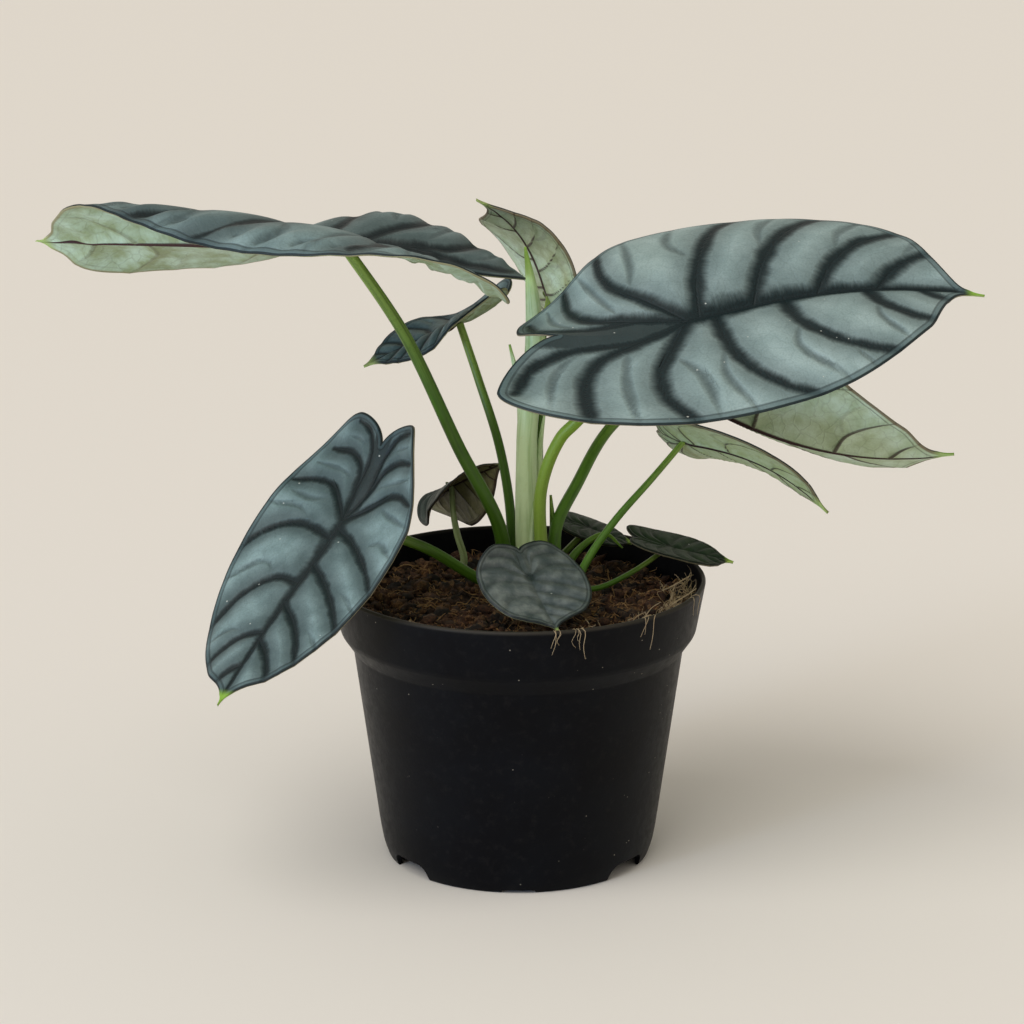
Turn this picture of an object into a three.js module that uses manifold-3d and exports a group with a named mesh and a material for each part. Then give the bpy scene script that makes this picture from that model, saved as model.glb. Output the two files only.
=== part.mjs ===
// Potted silver dragon alocasia: a small aroid with thick shield-shaped leaves in a 12 cm nursery pot.
// Millimetres, +Z up. The origin is the middle of the pot's foot, on the surface it stands on.
// +X is to the right and -Y is the side that the plant turns to a viewer.

import * as THREE from 'three';
import { mergeVertices } from 'three/addons/utils/BufferGeometryUtils.js';
import Module from 'manifold-3d';

const wasm = await Module();
wasm.setup();
const { degToRad, mapLinear } = THREE.MathUtils;

// Pot: a 12 cm injection-moulded nursery pot
const POT_HEIGHT = 92;
const RIM_RADIUS = 60;
const COLLAR_LOW_RADIUS = 57.2;
const COLLAR_LOW_Z = 76;
const WALL_TOP_RADIUS = 53;
const WALL_TOP_Z = 69.5;
const WALL_FOOT_RADIUS = 44.6;
const FOOT_RING_HEIGHT = 8;
const FOOT_RING_RADIUS = 43.6;
const POT_WALL = 1.3;
const POT_FLOOR_Z = 4;
const POT_FLOOR_THICKNESS = 1.6;
const FOOT_PAD_RADIUS = 9;
const POT_SIDES = 40;
const FOOT_CUT_WIDTH = 15;
const FOOT_CUT_HEIGHT = 5;
const FOOT_CUT_TURN = degToRad(36);
const FOOT_NICK_WIDTH = 11;
const FOOT_NICK_HEIGHT = 1;
const DRAIN_RADIUS = 3.5;
const DRAIN_CIRCLE = 31;
const DRAIN_COUNT = 8;

// Soil: peat and fibre, rough on top and higher around the stem
const SOIL_TOP_Z = 83;
const SOIL_MOUND = 2.5;
const SOIL_ROUGH = 1.3;
const SOIL_RINGS = [0.2, 0.4, 0.58, 0.74, 0.88, 1];
const SOIL_SIDES = 32;
const CLEAR = 0.3;
const HOLE_CLEAR = 0.6;
const HOLE_SIDES = 8;
const WALL_CLEAR = 0.55;

// Stem: a short underground stub that every stalk rises beside
const STEM_AT = [3.5, 4];
const STEM_RADIUS = 4.6;
const STEM_LOW_Z = 56;
const STEM_TOP_Z = 69.5;
const STALK_LOW_Z = 70;
const STALK_UPRIGHT_Z = 84;
const STALK_TURN = 4;

// Leaf blades
const BLADE_THICKNESS = 0.9;
const RELIEF = 1.1;

// Each leaf: `at` is where its stalk meets it. `front`, `lobe` and `half` are its length to the tip, its
// length back to the lobe ends and its half width. `lobeWidth`, `notch` and `widest` are shares of half,
// lobe and front. Angles are degrees: yaw turns from +X towards +Y, pitch lifts the tip and roll lifts the
// left edge. fold tilts each half up from the midrib, and curl bends it on to its edge. PLACES tells where
// the listed angles stand, from -1 at the lobe ends over 0 at the stalk to 1 at the tip.
const LEAVES = {
  left: {
    at: [-53.5, -12, 201.5], front: 105.5, lobe: 55.5, half: 49, lobeWidth: 0.47, notch: 0.63, widest: -0.15,
    yaw: [172, 162, 152], pitch: [27, 1, -6], roll: [-9, 4, 25, 37, 77],
    foldLeft: [8, 37, 38, 21, -41], curlLeft: [45, -65, -111, -82, -16],
    foldRight: [9, 33, 7, -1], curlRight: [-69, -62, 3, -6],
    rows: 3, columns: 5, colour: 0x6f8c90,
  },
  right: {
    at: [52.5, -18, 179.5], front: 93, lobe: 55.5, half: 48.5, lobeWidth: 0.59, notch: 0.76, widest: 0.1,
    yaw: [-5, 21, 3], pitch: [-12, 9, -7], roll: [15, 23, 27],
    foldLeft: [-44, 27, 18], curlLeft: [51, -57, -66],
    foldRight: [-27, 15, 22], curlRight: [42, -32, -38],
    rows: 3, columns: 5, colour: 0x7d999b,
  },
  right_behind: {
    at: [47, 34, 148], front: 95, lobe: 35, half: 39, lobeWidth: 0.4, notch: 0.75, widest: 0.05,
    yaw: [2, 0, -4], pitch: [5, -30, 6], roll: [-46, -45, -42],
    foldLeft: [-15, 32, 7], curlLeft: [-11, 3, 24],
    foldRight: [-26, 22, 9], curlRight: [0],
    rows: 3, columns: 4, colour: 0x93a88a,
  },
  right_low: {
    at: [53, 17, 132], front: 50, lobe: 13, half: 18, lobeWidth: 0.44, notch: 0.75, widest: 0.05,
    yaw: [-50, -36, -8], pitch: [-40, 0, -43], roll: [-58, -47, -37],
    foldLeft: [3], curlLeft: [31], foldRight: [2], curlRight: [-19],
    rows: 2, columns: 4, colour: 0x7f9a66,
  },
  top: {
    at: [10, 40, 174], front: 46, lobe: 11, half: 21, lobeWidth: 0.48, notch: 0.75, widest: 0.06,
    yaw: [244, 229, 222], pitch: [52, 69, 28], roll: [-35, -15, 25],
    foldLeft: [-12], curlLeft: [14], foldRight: [1], curlRight: [20],
    rows: 2, columns: 4, colour: 0x8ba091,
  },
  middle_left: {
    at: [-19, 25, 169.5], front: 30, lobe: 20.5, half: 15, lobeWidth: 0.41, notch: 0.75, widest: 0.02,
    yaw: [170, 182, 193], pitch: [-40, -24, -24], roll: [8, 20, 2, -19],
    foldLeft: [20, 14, 12], curlLeft: [-20, -42, -42], foldRight: [32, 8, -4], curlRight: [0, 20, 38],
    rows: 2, columns: 4, colour: 0x5f7880,
  },
  front_left: {
    at: [-55, -24, 117], front: 72, lobe: 36, half: 32, lobeWidth: 0.46, notch: 0.77, widest: 0.02,
    yaw: [225, 226, 244], pitch: [-71, -41, -29], roll: [-2, 0, -2],
    foldLeft: [-1], curlLeft: [75, 17, 15], foldRight: [-9], curlRight: [-15, 27, -41],
    rows: 3, columns: 5, colour: 0x6d8a8f,
  },
  front_small: {
    at: [3.5, -32, 101], front: 24, lobe: 13, half: 18.5, lobeWidth: 0.46, notch: 0.82, widest: 0.05,
    yaw: [-58, -68, -66], pitch: [-53, -33, -19], roll: [-10, -2, 2],
    foldLeft: [3], curlLeft: [-5], foldRight: [6], curlRight: [2],
    rows: 2, columns: 4, colour: 0x5d7376, spur: 2, point: 1, relief: 0.6,
  },
  back_left: {
    at: [-22, 45, 110], front: 29, lobe: 16, half: 15, lobeWidth: 0.44, notch: 0.75, widest: 0.04,
    yaw: [-20, -48, -52], pitch: [25, 27, 24], roll: [-14, -49, -77],
    foldLeft: [-22], curlLeft: [-16], foldRight: [-52], curlRight: [-50],
    rows: 2, columns: 3, colour: 0x6a6650, spur: 3, point: 1.2, relief: 0.5,
  },
  right_rim: {
    at: [48.5, 16, 97], front: 20, lobe: 14, half: 10.5, lobeWidth: 0.45, notch: 0.75, widest: 0.08,
    yaw: [10, 10, 8], pitch: [-24, -16, -16], roll: [5, 4, 8],
    foldLeft: [12], curlLeft: [-8], foldRight: [-5], curlRight: [11],
    rows: 2, columns: 3, colour: 0x3f5148, spur: 3, point: 1.2, relief: 0.5,
  },
  back_small: {
    at: [23, 36, 97.5], front: 14, lobe: 10, half: 8.5, lobeWidth: 0.45, notch: 0.75, widest: 0.06,
    yaw: [0, 5, 10], pitch: [-16, -20, -22], roll: [8, 8, 8],
    foldLeft: [16], curlLeft: [-30], foldRight: [5], curlRight: [-20],
    rows: 2, columns: 3, colour: 0x2f4034, spur: 3, point: 1.2, relief: 0.5,
  },
};
const PLACES = { 1: [0], 3: [-1, 0, 1], 4: [-1, 0, 0.4, 1], 5: [-1, 0, 0.4, 0.8, 1] };
const SPUR = 5;
const POINT = 1.6;

// Outline from the widest point to the tip, in shares of that run: where the narrow neck begins, where it is
// full and where the spur takes over, and two powers that set how full the shoulders are.
const NECK_FROM = 0.8;
const NECK_TO = 0.9;
const SPUR_FROM = 0.94;
const SHOULDER_POWER = 2.5;
const SHOULDER_ROUND = 0.8;

// Veins of one half, from the notch line round to the tip: where each leaves the midrib, as a share of front,
// and where it meets the outline, from 0 at the notch over 1 at the lobe end and 2 at the widest point to 3
const VEINS = [
  [0, 0], [0, 0.85], [0, 1.3], [0, 1.65], [0.13, 1.97], [0.35, 2.32], [0.58, 2.6], [0.78, 2.82], [1, 3],
];
const VEIN_COUNT = VEINS.length - 1;
const LAST_FAN_VEIN = 3;
const VEIN_BOW = 0.2;
const FAN_BOW_SHARE = 0.6;

// How the swollen panels rise between the veins
const QUILT_RUN = 0.35;
const QUILT_SHARPNESS = 0.8;
const SEAM_WIDTH = 4;

// Stalks: `foot` is where each leaves the soil and `route` its way up to the leaf. Radii are at the foot
// and the top.
const STALKS = {
  left: { foot: [-4.3, 2.3], route: [[-6, -1, 108], [-19, -5, 136], [-36, -9, 174]], radii: [2.5, 1.8] },
  right: {
    foot: [8.5, -1.5], route: [[7, -3, 121], [13, -6, 139], [18, -8, 145], [38, -14, 167]], radii: [2.3, 1.8],
  },
  right_behind: {
    foot: [12.2, 6.8], route: [[12, 10, 105], [19, 18, 118], [29, 28, 133]], radii: [2.4, 1.7],
  },
  right_low: { foot: [18, -1.5], route: [[22, 4, 96], [31, 9, 108], [43, 13, 121]], radii: [1.6, 1] },
  top: {
    foot: [6, 10.5], route: [[6.5, 15, 115], [6.5, 21, 138], [7, 29, 157]], radii: [1.9, 1.2], topClear: 0.8,
  },
  middle_left: {
    foot: [-2.5, 9], route: [[-2.5, 12, 108], [-6, 16, 130], [-13, 21, 152]], radii: [1.9, 1.3],
  },
  front_left: { foot: [-3.5, -4.5], route: [[-13, -11, 94.5], [-30, -18, 107]], radii: [2, 1.6] },
  front_small: { foot: [3.5, -6], route: [[4, -14, 92]], radii: [1.4, 1.1] },
  back_left: {
    foot: [-18, 36], route: [[-20, 36.5, 95], [-21.5, 39.5, 102.5]], radii: [1.5, 0.9], topClear: 1,
  },
  right_rim: { foot: [16.5, -7], route: [[27, -3, 89.5], [38, 6, 92.5]], radii: [1.1, 0.8] },
  back_small: { foot: [8.5, 16.5], route: [[15, 30, 91]], radii: [1.4, 1] },
};
const STALK_SIDES = 8;
const STALK_STEP = 10;
const STALK_FLARE = 0.35;
const STALK_FLARE_END = 0.3;
const TOP_RUN = 3;
const TOP_CLEAR = 0.35;

// The free point of the sheath on one stalk: a slim cone that grows out of it
const SHEATH_ON = 'right_behind';
const STALK_SHEATH = { route: [[12.3, 8.5, 92], [11.2, 11, 105], [10.4, 12.5, 115.5]], radii: [2, 0.4] };

// New leaf: a rolled spear in its pale sheath, with the sheath's free point beside it
const SPEAR = {
  route: [
    [3.5, 4, STALK_LOW_Z],
    [3.5, 4, STALK_UPRIGHT_Z],
    [2.6, 5, 137],
    [5.2, 12, 165],
    [3.9, 12, 185],
    [2.1, 12, 197],
  ],
  radii: [3.2, 0.35],
};
const SPEAR_TAPER_FROM = 0.72;
const SPEAR_TAPER_POWER = 1.6;
const SPEAR_SHEATH = { route: [[2.2, 5.1, 135], [0.6, 6.6, 151], [-2.8, 7, 166.5]], radii: [2.4, 0.4] };

// A young pointed scale leaf that bends over beside the stalks
const SCALE_LEAF = {
  route: [[15, 14, 76], [15, 14, 86], [18, 17, 94], [28, 21, 100], [34, 22, 95]],
  radii: [1.7, 0.25],
};
const SCALE_TAPER_POWER = 1.8;

const COLOURS = { pot: 0x17191c, soil: 0x4a2e1c, stem: 0x6b7a3a, stalk: 0x4f7a22, spear: 0xbfd8a0 };

const smooth = (v) => v * v * (3 - 2 * v);
const clamp01 = (v) => Math.min(Math.max(v, 0), 1);

// Closed solids and booleans

function indexed(geometry) {
  const bare = geometry.clone();
  bare.deleteAttribute('normal');
  bare.deleteAttribute('uv');
  return mergeVertices(bare, 1e-3);
}

// Drops triangles whose corners have run together, as at a pole or a fan's hub.
function withoutSlivers(geometry) {
  const index = Array.from(geometry.index.array);
  const kept = [];
  for (let i = 0; i < index.length; i += 3) {
    const [a, b, c] = index.slice(i, i + 3);
    if (a !== b && b !== c && c !== a) kept.push(a, b, c);
  }
  geometry.setIndex(kept);
  return geometry;
}

function toSolid(geometry) {
  const g = withoutSlivers(indexed(geometry));
  const mesh = new wasm.Mesh({
    numProp: 3,
    vertProperties: new Float32Array(g.attributes.position.array),
    triVerts: new Uint32Array(g.index.array),
  });
  return new wasm.Manifold(mesh);
}

function toGeometry(solid) {
  const mesh = solid.getMesh();
  const geometry = new THREE.BufferGeometry();
  geometry.setAttribute('position', new THREE.BufferAttribute(new Float32Array(mesh.vertProperties), 3));
  geometry.setIndex(new THREE.BufferAttribute(new Uint32Array(mesh.triVerts), 1));
  return geometry;
}

function upright(geometry) {
  return geometry.rotateX(Math.PI / 2);
}

function lathe(profile, sides) {
  const points = profile.map(([r, z]) => new THREE.Vector2(r, z));
  return upright(new THREE.LatheGeometry(points, sides));
}

function cylinder(radius, lowZ, highZ, x, y, sides) {
  const g = upright(new THREE.CylinderGeometry(radius, radius, highZ - lowZ, sides));
  return g.translate(x, y, (lowZ + highZ) / 2);
}

// Pot

function makePot() {
  const floorTop = POT_FLOOR_Z + POT_FLOOR_THICKNESS;
  const profile = [
    [0, 0],
    [FOOT_PAD_RADIUS, 0],
    [FOOT_PAD_RADIUS + 1.5, POT_FLOOR_Z],
    [FOOT_RING_RADIUS - POT_WALL, POT_FLOOR_Z],
    [FOOT_RING_RADIUS - POT_WALL, 0],
    [FOOT_RING_RADIUS, 0],
    [FOOT_RING_RADIUS + 0.2, FOOT_RING_HEIGHT],
    [WALL_FOOT_RADIUS, FOOT_RING_HEIGHT + 0.6],
    [WALL_TOP_RADIUS, WALL_TOP_Z],
    [COLLAR_LOW_RADIUS - 0.5, COLLAR_LOW_Z - 1.2],
    [COLLAR_LOW_RADIUS, COLLAR_LOW_Z],
    [RIM_RADIUS, POT_HEIGHT - 0.6],
    [RIM_RADIUS - 0.5, POT_HEIGHT],
    [RIM_RADIUS - POT_WALL, POT_HEIGHT],
    [COLLAR_LOW_RADIUS - POT_WALL, COLLAR_LOW_Z],
    [WALL_TOP_RADIUS - POT_WALL, WALL_TOP_Z],
    [WALL_FOOT_RADIUS - POT_WALL, floorTop],
    [0, floorTop],
  ];
  let pot = toSolid(lathe(profile, POT_SIDES));
  for (let i = 0; i < 4; i += 1) {
    const turn = (i * Math.PI) / 2;
    const cut = new THREE.BoxGeometry(30, FOOT_CUT_WIDTH, 2 * FOOT_CUT_HEIGHT);
    cut.translate(FOOT_RING_RADIUS, 0, 0).rotateZ((i < 2 ? 1 : -1) * FOOT_CUT_TURN + (i % 2) * Math.PI);
    const nick = new THREE.BoxGeometry(8, FOOT_NICK_WIDTH, 2 * FOOT_NICK_HEIGHT);
    nick.translate(FOOT_RING_RADIUS, 0, 0).rotateZ(turn);
    pot = pot.subtract(toSolid(cut)).subtract(toSolid(nick));
  }
  for (let i = 0; i < DRAIN_COUNT; i += 1) {
    const a = ((i + 0.5) * 2 * Math.PI) / DRAIN_COUNT;
    const hole = cylinder(DRAIN_RADIUS, 1, 12, DRAIN_CIRCLE * Math.cos(a), DRAIN_CIRCLE * Math.sin(a), 12);
    pot = pot.subtract(toSolid(hole));
  }
  return toGeometry(pot);
}

// Soil

// Small bumps from a few crossed waves, the same on every run.
function soilBump(x, y) {
  const a = Math.sin(0.31 * x + 1.3) * Math.cos(0.27 * y - 0.6);
  const b = Math.sin(0.62 * x - 0.41 * y + 2.1);
  const c = Math.cos(0.17 * x + 0.73 * y);
  return (a + 0.7 * b + 0.6 * c) / 2;
}

function soilHeight(x, y) {
  const dx = x - STEM_AT[0];
  const dy = y - STEM_AT[1];
  const mound = SOIL_MOUND * Math.exp(-(dx * dx + dy * dy) / 500);
  return SOIL_TOP_Z + mound + SOIL_ROUGH * soilBump(x, y);
}

function innerRadius(z) {
  const low = POT_FLOOR_Z + POT_FLOOR_THICKNESS;
  if (z <= WALL_TOP_Z) {
    return mapLinear(z, low, WALL_TOP_Z, WALL_FOOT_RADIUS, WALL_TOP_RADIUS) - POT_WALL;
  }
  if (z <= COLLAR_LOW_Z) {
    return mapLinear(z, WALL_TOP_Z, COLLAR_LOW_Z, WALL_TOP_RADIUS, COLLAR_LOW_RADIUS) - POT_WALL;
  }
  return mapLinear(z, COLLAR_LOW_Z, POT_HEIGHT, COLLAR_LOW_RADIUS, RIM_RADIUS) - POT_WALL;
}

function makeSoil(holes) {
  const low = POT_FLOOR_Z + POT_FLOOR_THICKNESS + CLEAR;
  const edge = innerRadius(SOIL_TOP_Z) - WALL_CLEAR;
  const profile = [[0, low]];
  for (const z of [low, WALL_TOP_Z, COLLAR_LOW_Z]) profile.push([innerRadius(z) - WALL_CLEAR, z]);
  for (const share of [...SOIL_RINGS].reverse()) profile.push([edge * share, SOIL_TOP_Z]);
  profile.push([0, SOIL_TOP_Z]);
  const g = lathe(profile, SOIL_SIDES);
  const p = g.attributes.position;
  for (let i = 0; i < p.count; i += 1) {
    if (Math.abs(p.getZ(i) - SOIL_TOP_Z) < 1e-3) p.setZ(i, soilHeight(p.getX(i), p.getY(i)));
  }
  let soil = toSolid(g);
  for (const [x, y, r, z] of holes) {
    soil = soil.subtract(toSolid(cylinder(r + HOLE_CLEAR, z - CLEAR, POT_HEIGHT, x, y, HOLE_SIDES)));
  }
  return toGeometry(soil);
}

// Leaf blades

// Left half of the outline, e = 0 at the notch, 1 at the lobe end, 2 at the widest point and 3 at the tip
function outline(e, leaf) {
  const lobeY = leaf.lobeWidth * leaf.half;
  const wideX = leaf.widest * leaf.front;
  const spur = leaf.spur ?? SPUR;
  const point = leaf.point ?? POINT;
  const quarter = Math.PI / 2;
  if (e <= 1) {
    const x = -leaf.lobe * (leaf.notch + (1 - leaf.notch) * Math.sin(quarter * e));
    return [x, lobeY * (0.25 * e + 0.75 * (1 - Math.cos(quarter * e)))];
  }
  if (e <= 2) {
    const a = quarter * (e - 1);
    return [wideX - (wideX + leaf.lobe) * Math.cos(a), lobeY + (leaf.half - lobeY) * Math.sin(a)];
  }
  const a = e - 2;
  const along = Math.sin(quarter * Math.min(a / SPUR_FROM, 1));
  const x = wideX + (leaf.front - wideX) * along + spur * clamp01((a - SPUR_FROM) / (1 - SPUR_FROM));
  const body = leaf.half * (1 - along ** SHOULDER_POWER) ** SHOULDER_ROUND;
  const swell = clamp01((a - NECK_FROM) / (NECK_TO - NECK_FROM));
  const tip = point * swell * (1 - clamp01((a - NECK_TO) / (1 - NECK_TO)));
  return [x, a >= 1 ? 0 : Math.max(body, tip)];
}

// Where vein s leaves the midrib and meets the outline. Between two veins it is shared out evenly.
function veinEnds(s) {
  const k = Math.min(Math.floor(s), VEIN_COUNT - 1);
  return VEINS[k].map((value, i) => value + (VEINS[k + 1][i] - value) * (s - k));
}

// Flat place of vein s, 0 at the notch and VEIN_COUNT at the tip, at share t from the midrib to the edge
function flatPoint(s, t, leaf) {
  const [root, end] = veinEnds(s);
  const [edgeX, edgeY] = outline(end, leaf);
  const ribX = (leaf.front + (leaf.spur ?? SPUR) * smooth(clamp01(s + 1 - VEIN_COUNT))) * root;
  const bow = VEIN_BOW * clamp01(s) * clamp01(VEIN_COUNT - s);
  const dx = edgeX - ribX;
  const bendX = ribX + dx / 2 - edgeY * bow;
  const bendY = edgeY / 2 + dx * bow * (s < LAST_FAN_VEIN ? FAN_BOW_SHARE : 1);
  const x = (1 - t) ** 2 * ribX + 2 * t * (1 - t) * bendX + t * t * edgeX;
  const y = 2 * t * (1 - t) * bendY + t * t * edgeY;
  return [x, Math.max(y, 0)];
}

// A smooth curve through a leaf's listed angles, in radians.
function angleAt(q, list) {
  const n = list.length;
  const places = PLACES[n];
  if (n === 1) return degToRad(list[0]);
  const v = Math.min(Math.max(q, places[0]), places[n - 1]);
  const slope = (i) => {
    const a = Math.max(i - 1, 0);
    const b = Math.min(i + 1, n - 1);
    return (list[b] - list[a]) / (places[b] - places[a]);
  };
  let k = 0;
  while (k < n - 2 && v >= places[k + 1]) k += 1;
  const h = places[k + 1] - places[k];
  const u = (v - places[k]) / h;
  const degrees =
    (2 * u ** 3 - 3 * u ** 2 + 1) * list[k] +
    (u ** 3 - 2 * u ** 2 + u) * h * slope(k) +
    (3 * u ** 2 - 2 * u ** 3) * list[k + 1] +
    (u ** 3 - u ** 2) * h * slope(k + 1);
  return degToRad(degrees);
}

// Directions along the midrib at q, -1 at the lobe ends, 0 at the stalk and 1 at the tip.
function ribFrame(q, leaf) {
  const yaw = angleAt(q, leaf.yaw);
  const pitch = angleAt(q, leaf.pitch);
  const roll = angleAt(q, leaf.roll);
  const heading = new THREE.Vector3(Math.cos(yaw), Math.sin(yaw), 0);
  const along = heading.multiplyScalar(Math.cos(pitch)).setZ(Math.sin(pitch));
  const level = new THREE.Vector3(-Math.sin(yaw), Math.cos(yaw), 0);
  const up = along.clone().cross(level);
  const across = level.clone().multiplyScalar(Math.cos(roll)).addScaledVector(up, Math.sin(roll));
  const normal = up.clone().multiplyScalar(Math.cos(roll)).addScaledVector(level, -Math.sin(roll));
  return { along, across, normal };
}

const RIB_STEPS = 40;
const SPUR_STEPS = 5;

// The midrib's curve, walked outwards from the stalk in both directions.
function makeRib(leaf) {
  const walk = (sign, length) => {
    const points = [new THREE.Vector3(...leaf.at)];
    const step = (sign * length) / RIB_STEPS;
    for (let i = 0; i < RIB_STEPS + SPUR_STEPS; i += 1) {
      const middle = (sign * (i + 0.5)) / RIB_STEPS;
      points.push(points[i].clone().addScaledVector(ribFrame(middle, leaf).along, step));
    }
    return points;
  };
  const forward = walk(1, leaf.front);
  const back = walk(-1, leaf.lobe);
  return (x) => {
    const q = x >= 0 ? x / leaf.front : x / leaf.lobe;
    const list = x >= 0 ? forward : back;
    const place = Math.min(Math.abs(q) * RIB_STEPS, list.length - 1.001);
    const i = Math.floor(place);
    return { q, point: list[i].clone().lerp(list[i + 1], place - i), ...ribFrame(q, leaf) };
  };
}

// Height of the quilted surface: veins are sunk and the panels between them swell.
function quilt(s, t, leaf) {
  const grow = smooth(clamp01(t / QUILT_RUN));
  const wave = Math.abs(Math.sin(Math.PI * s)) ** QUILT_SHARPNESS - 0.5;
  return (leaf.relief ?? RELIEF) * grow * wave * clamp01(VEIN_COUNT - s);
}

// A point of the blade, `lift` above its middle surface. side is 1 for the left half and -1 for the right.
function bladePoint(s, t, side, lift, leaf, rib) {
  const [x, y] = flatPoint(s, t, leaf);
  const { q, point, across, normal } = rib(x);
  const fold = angleAt(q, side > 0 ? leaf.foldLeft : leaf.foldRight);
  const bend = angleAt(q, side > 0 ? leaf.curlLeft : leaf.curlRight) / leaf.half;
  let out = y * Math.cos(fold);
  let up = y * Math.sin(fold);
  if (Math.abs(bend) > 1e-6) {
    out = (Math.sin(fold + bend * y) - Math.sin(fold)) / bend;
    up = (Math.cos(fold) - Math.cos(fold + bend * y)) / bend;
  }
  const slope = (fold + bend * y) * Math.min(y / SEAM_WIDTH, 1);
  const height = lift + quilt(s, t, leaf);
  return point
    .clone()
    .addScaledVector(across, side * (out - Math.sin(slope) * height))
    .addScaledVector(normal, up + Math.cos(slope) * height);
}

function makeBlade(leaf) {
  const rib = makeRib(leaf);
  const rows = VEIN_COUNT * leaf.rows;
  const cols = leaf.columns;
  const positions = [];
  const triangle = (a, b, c) => positions.push(...a.toArray(), ...b.toArray(), ...c.toArray());
  const quad = (a, b, c, d) => {
    triangle(a, b, c);
    triangle(a, c, d);
  };
  for (const side of [1, -1]) {
    const at = (i, j, lift) => bladePoint((i / rows) * VEIN_COUNT, j / cols, side, lift, leaf, rib);
    const half = BLADE_THICKNESS / 2;
    const facing = (a, b, c, d) => (side > 0 ? quad(a, b, c, d) : quad(a, d, c, b));
    for (let i = 0; i < rows; i += 1) {
      for (let j = 0; j < cols; j += 1) {
        const top = [at(i, j, half), at(i + 1, j, half), at(i + 1, j + 1, half), at(i, j + 1, half)];
        const low = [at(i, j, -half), at(i + 1, j, -half), at(i + 1, j + 1, -half), at(i, j + 1, -half)];
        facing(top[0], top[1], top[2], top[3]);
        facing(low[0], low[3], low[2], low[1]);
      }
      facing(at(i, cols, half), at(i + 1, cols, half), at(i + 1, cols, -half), at(i, cols, -half));
    }
  }
  const g = new THREE.BufferGeometry();
  g.setAttribute('position', new THREE.Float32BufferAttribute(positions, 3));
  return withoutSlivers(mergeVertices(g, 1e-3));
}

// Stalks and spears

// A round tube along a curve whose radius follows a formula of its share from foot to top.
function taperedTube(points, radiusAt, sides, step) {
  const curve = new THREE.CatmullRomCurve3(points.map((p) => new THREE.Vector3(...p)), false, 'centripetal');
  const steps = Math.max(3, Math.round(curve.getLength() / step));
  const ring = new THREE.Shape();
  for (let i = 0; i < sides; i += 1) {
    const a = (i * 2 * Math.PI) / sides;
    if (i === 0) ring.moveTo(Math.cos(a), Math.sin(a));
    else ring.lineTo(Math.cos(a), Math.sin(a));
  }
  ring.closePath();
  const g = new THREE.ExtrudeGeometry(ring, { steps, extrudePath: curve, bevelEnabled: false });
  const centres = curve.getSpacedPoints(steps);
  const p = g.attributes.position;
  const v = new THREE.Vector3();
  for (let i = 0; i < p.count; i += 1) {
    v.fromBufferAttribute(p, i);
    let near = 0;
    for (let k = 1; k <= steps; k += 1) if (v.distanceTo(centres[k]) < v.distanceTo(centres[near])) near = k;
    v.sub(centres[near]).multiplyScalar(radiusAt(near / steps)).add(centres[near]);
    p.setXYZ(i, v.x, v.y, v.z);
  }
  return withoutSlivers(indexed(g));
}

// A tube whose radius runs from radii[0] to radii[1], slowly at first when power is over 1.
function cone({ route, radii }, power, sides, step) {
  const radiusAt = (u) => radii[0] + (radii[1] - radii[0]) * u ** power;
  return taperedTube(route, radiusAt, sides, step);
}

// A stalk runs on through its leaf and is then cut off level with the blade, just under it.
function makeStalk(name) {
  const { foot, route, radii, topClear = TOP_CLEAR } = STALKS[name];
  const leaf = LEAVES[name];
  const at = new THREE.Vector3(...leaf.at);
  const { normal } = ribFrame(0, leaf);
  const arrival = at.clone().sub(new THREE.Vector3(...route.at(-1))).normalize();
  const beyond = at.clone().addScaledVector(arrival, TOP_RUN);
  const feet = [STALK_LOW_Z, STALK_UPRIGHT_Z, STALK_UPRIGHT_Z + STALK_TURN].map((z) => [...foot, z]);
  const points = [...feet, ...route, leaf.at, beyond.toArray()];
  const flare = (u) => 1 + STALK_FLARE * smooth(clamp01(1 - u / STALK_FLARE_END));
  const radiusAt = (u) => (radii[0] + (radii[1] - radii[0]) * u) * flare(u);
  let stalk = toSolid(taperedTube(points, radiusAt, STALK_SIDES, STALK_STEP));
  const below = normal.negate();
  stalk = stalk.trimByPlane(below.toArray(), below.dot(at) + BLADE_THICKNESS / 2 + topClear);
  if (name === SHEATH_ON) stalk = stalk.add(toSolid(cone(STALK_SHEATH, 1, 6, 6)));
  return toGeometry(stalk);
}

function makeNewLeaf() {
  const [full, tip] = SPEAR.radii;
  const radiusAt = (u) => {
    const taper = clamp01((u - SPEAR_TAPER_FROM) / (1 - SPEAR_TAPER_FROM));
    return full + (tip - full) * taper ** SPEAR_TAPER_POWER;
  };
  const spear = taperedTube(SPEAR.route, radiusAt, 10, 9);
  return toGeometry(toSolid(spear).add(toSolid(cone(SPEAR_SHEATH, 1, 8, 8))));
}

// Assembly

const plant = new THREE.Group();

function addNode(name, geometry, colour, roughness) {
  const material = new THREE.MeshStandardMaterial({ color: colour, roughness, metalness: 0 });
  const mesh = new THREE.Mesh(geometry, material);
  mesh.name = name;
  plant.add(mesh);
}

const holes = [[...STEM_AT, STEM_RADIUS, STEM_LOW_Z]];
for (const { foot, radii } of Object.values(STALKS)) {
  holes.push([...foot, radii[0] * (1 + STALK_FLARE), STALK_LOW_Z]);
}
holes.push([...SCALE_LEAF.route[0].slice(0, 2), SCALE_LEAF.radii[0], SCALE_LEAF.route[0][2]]);

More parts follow.
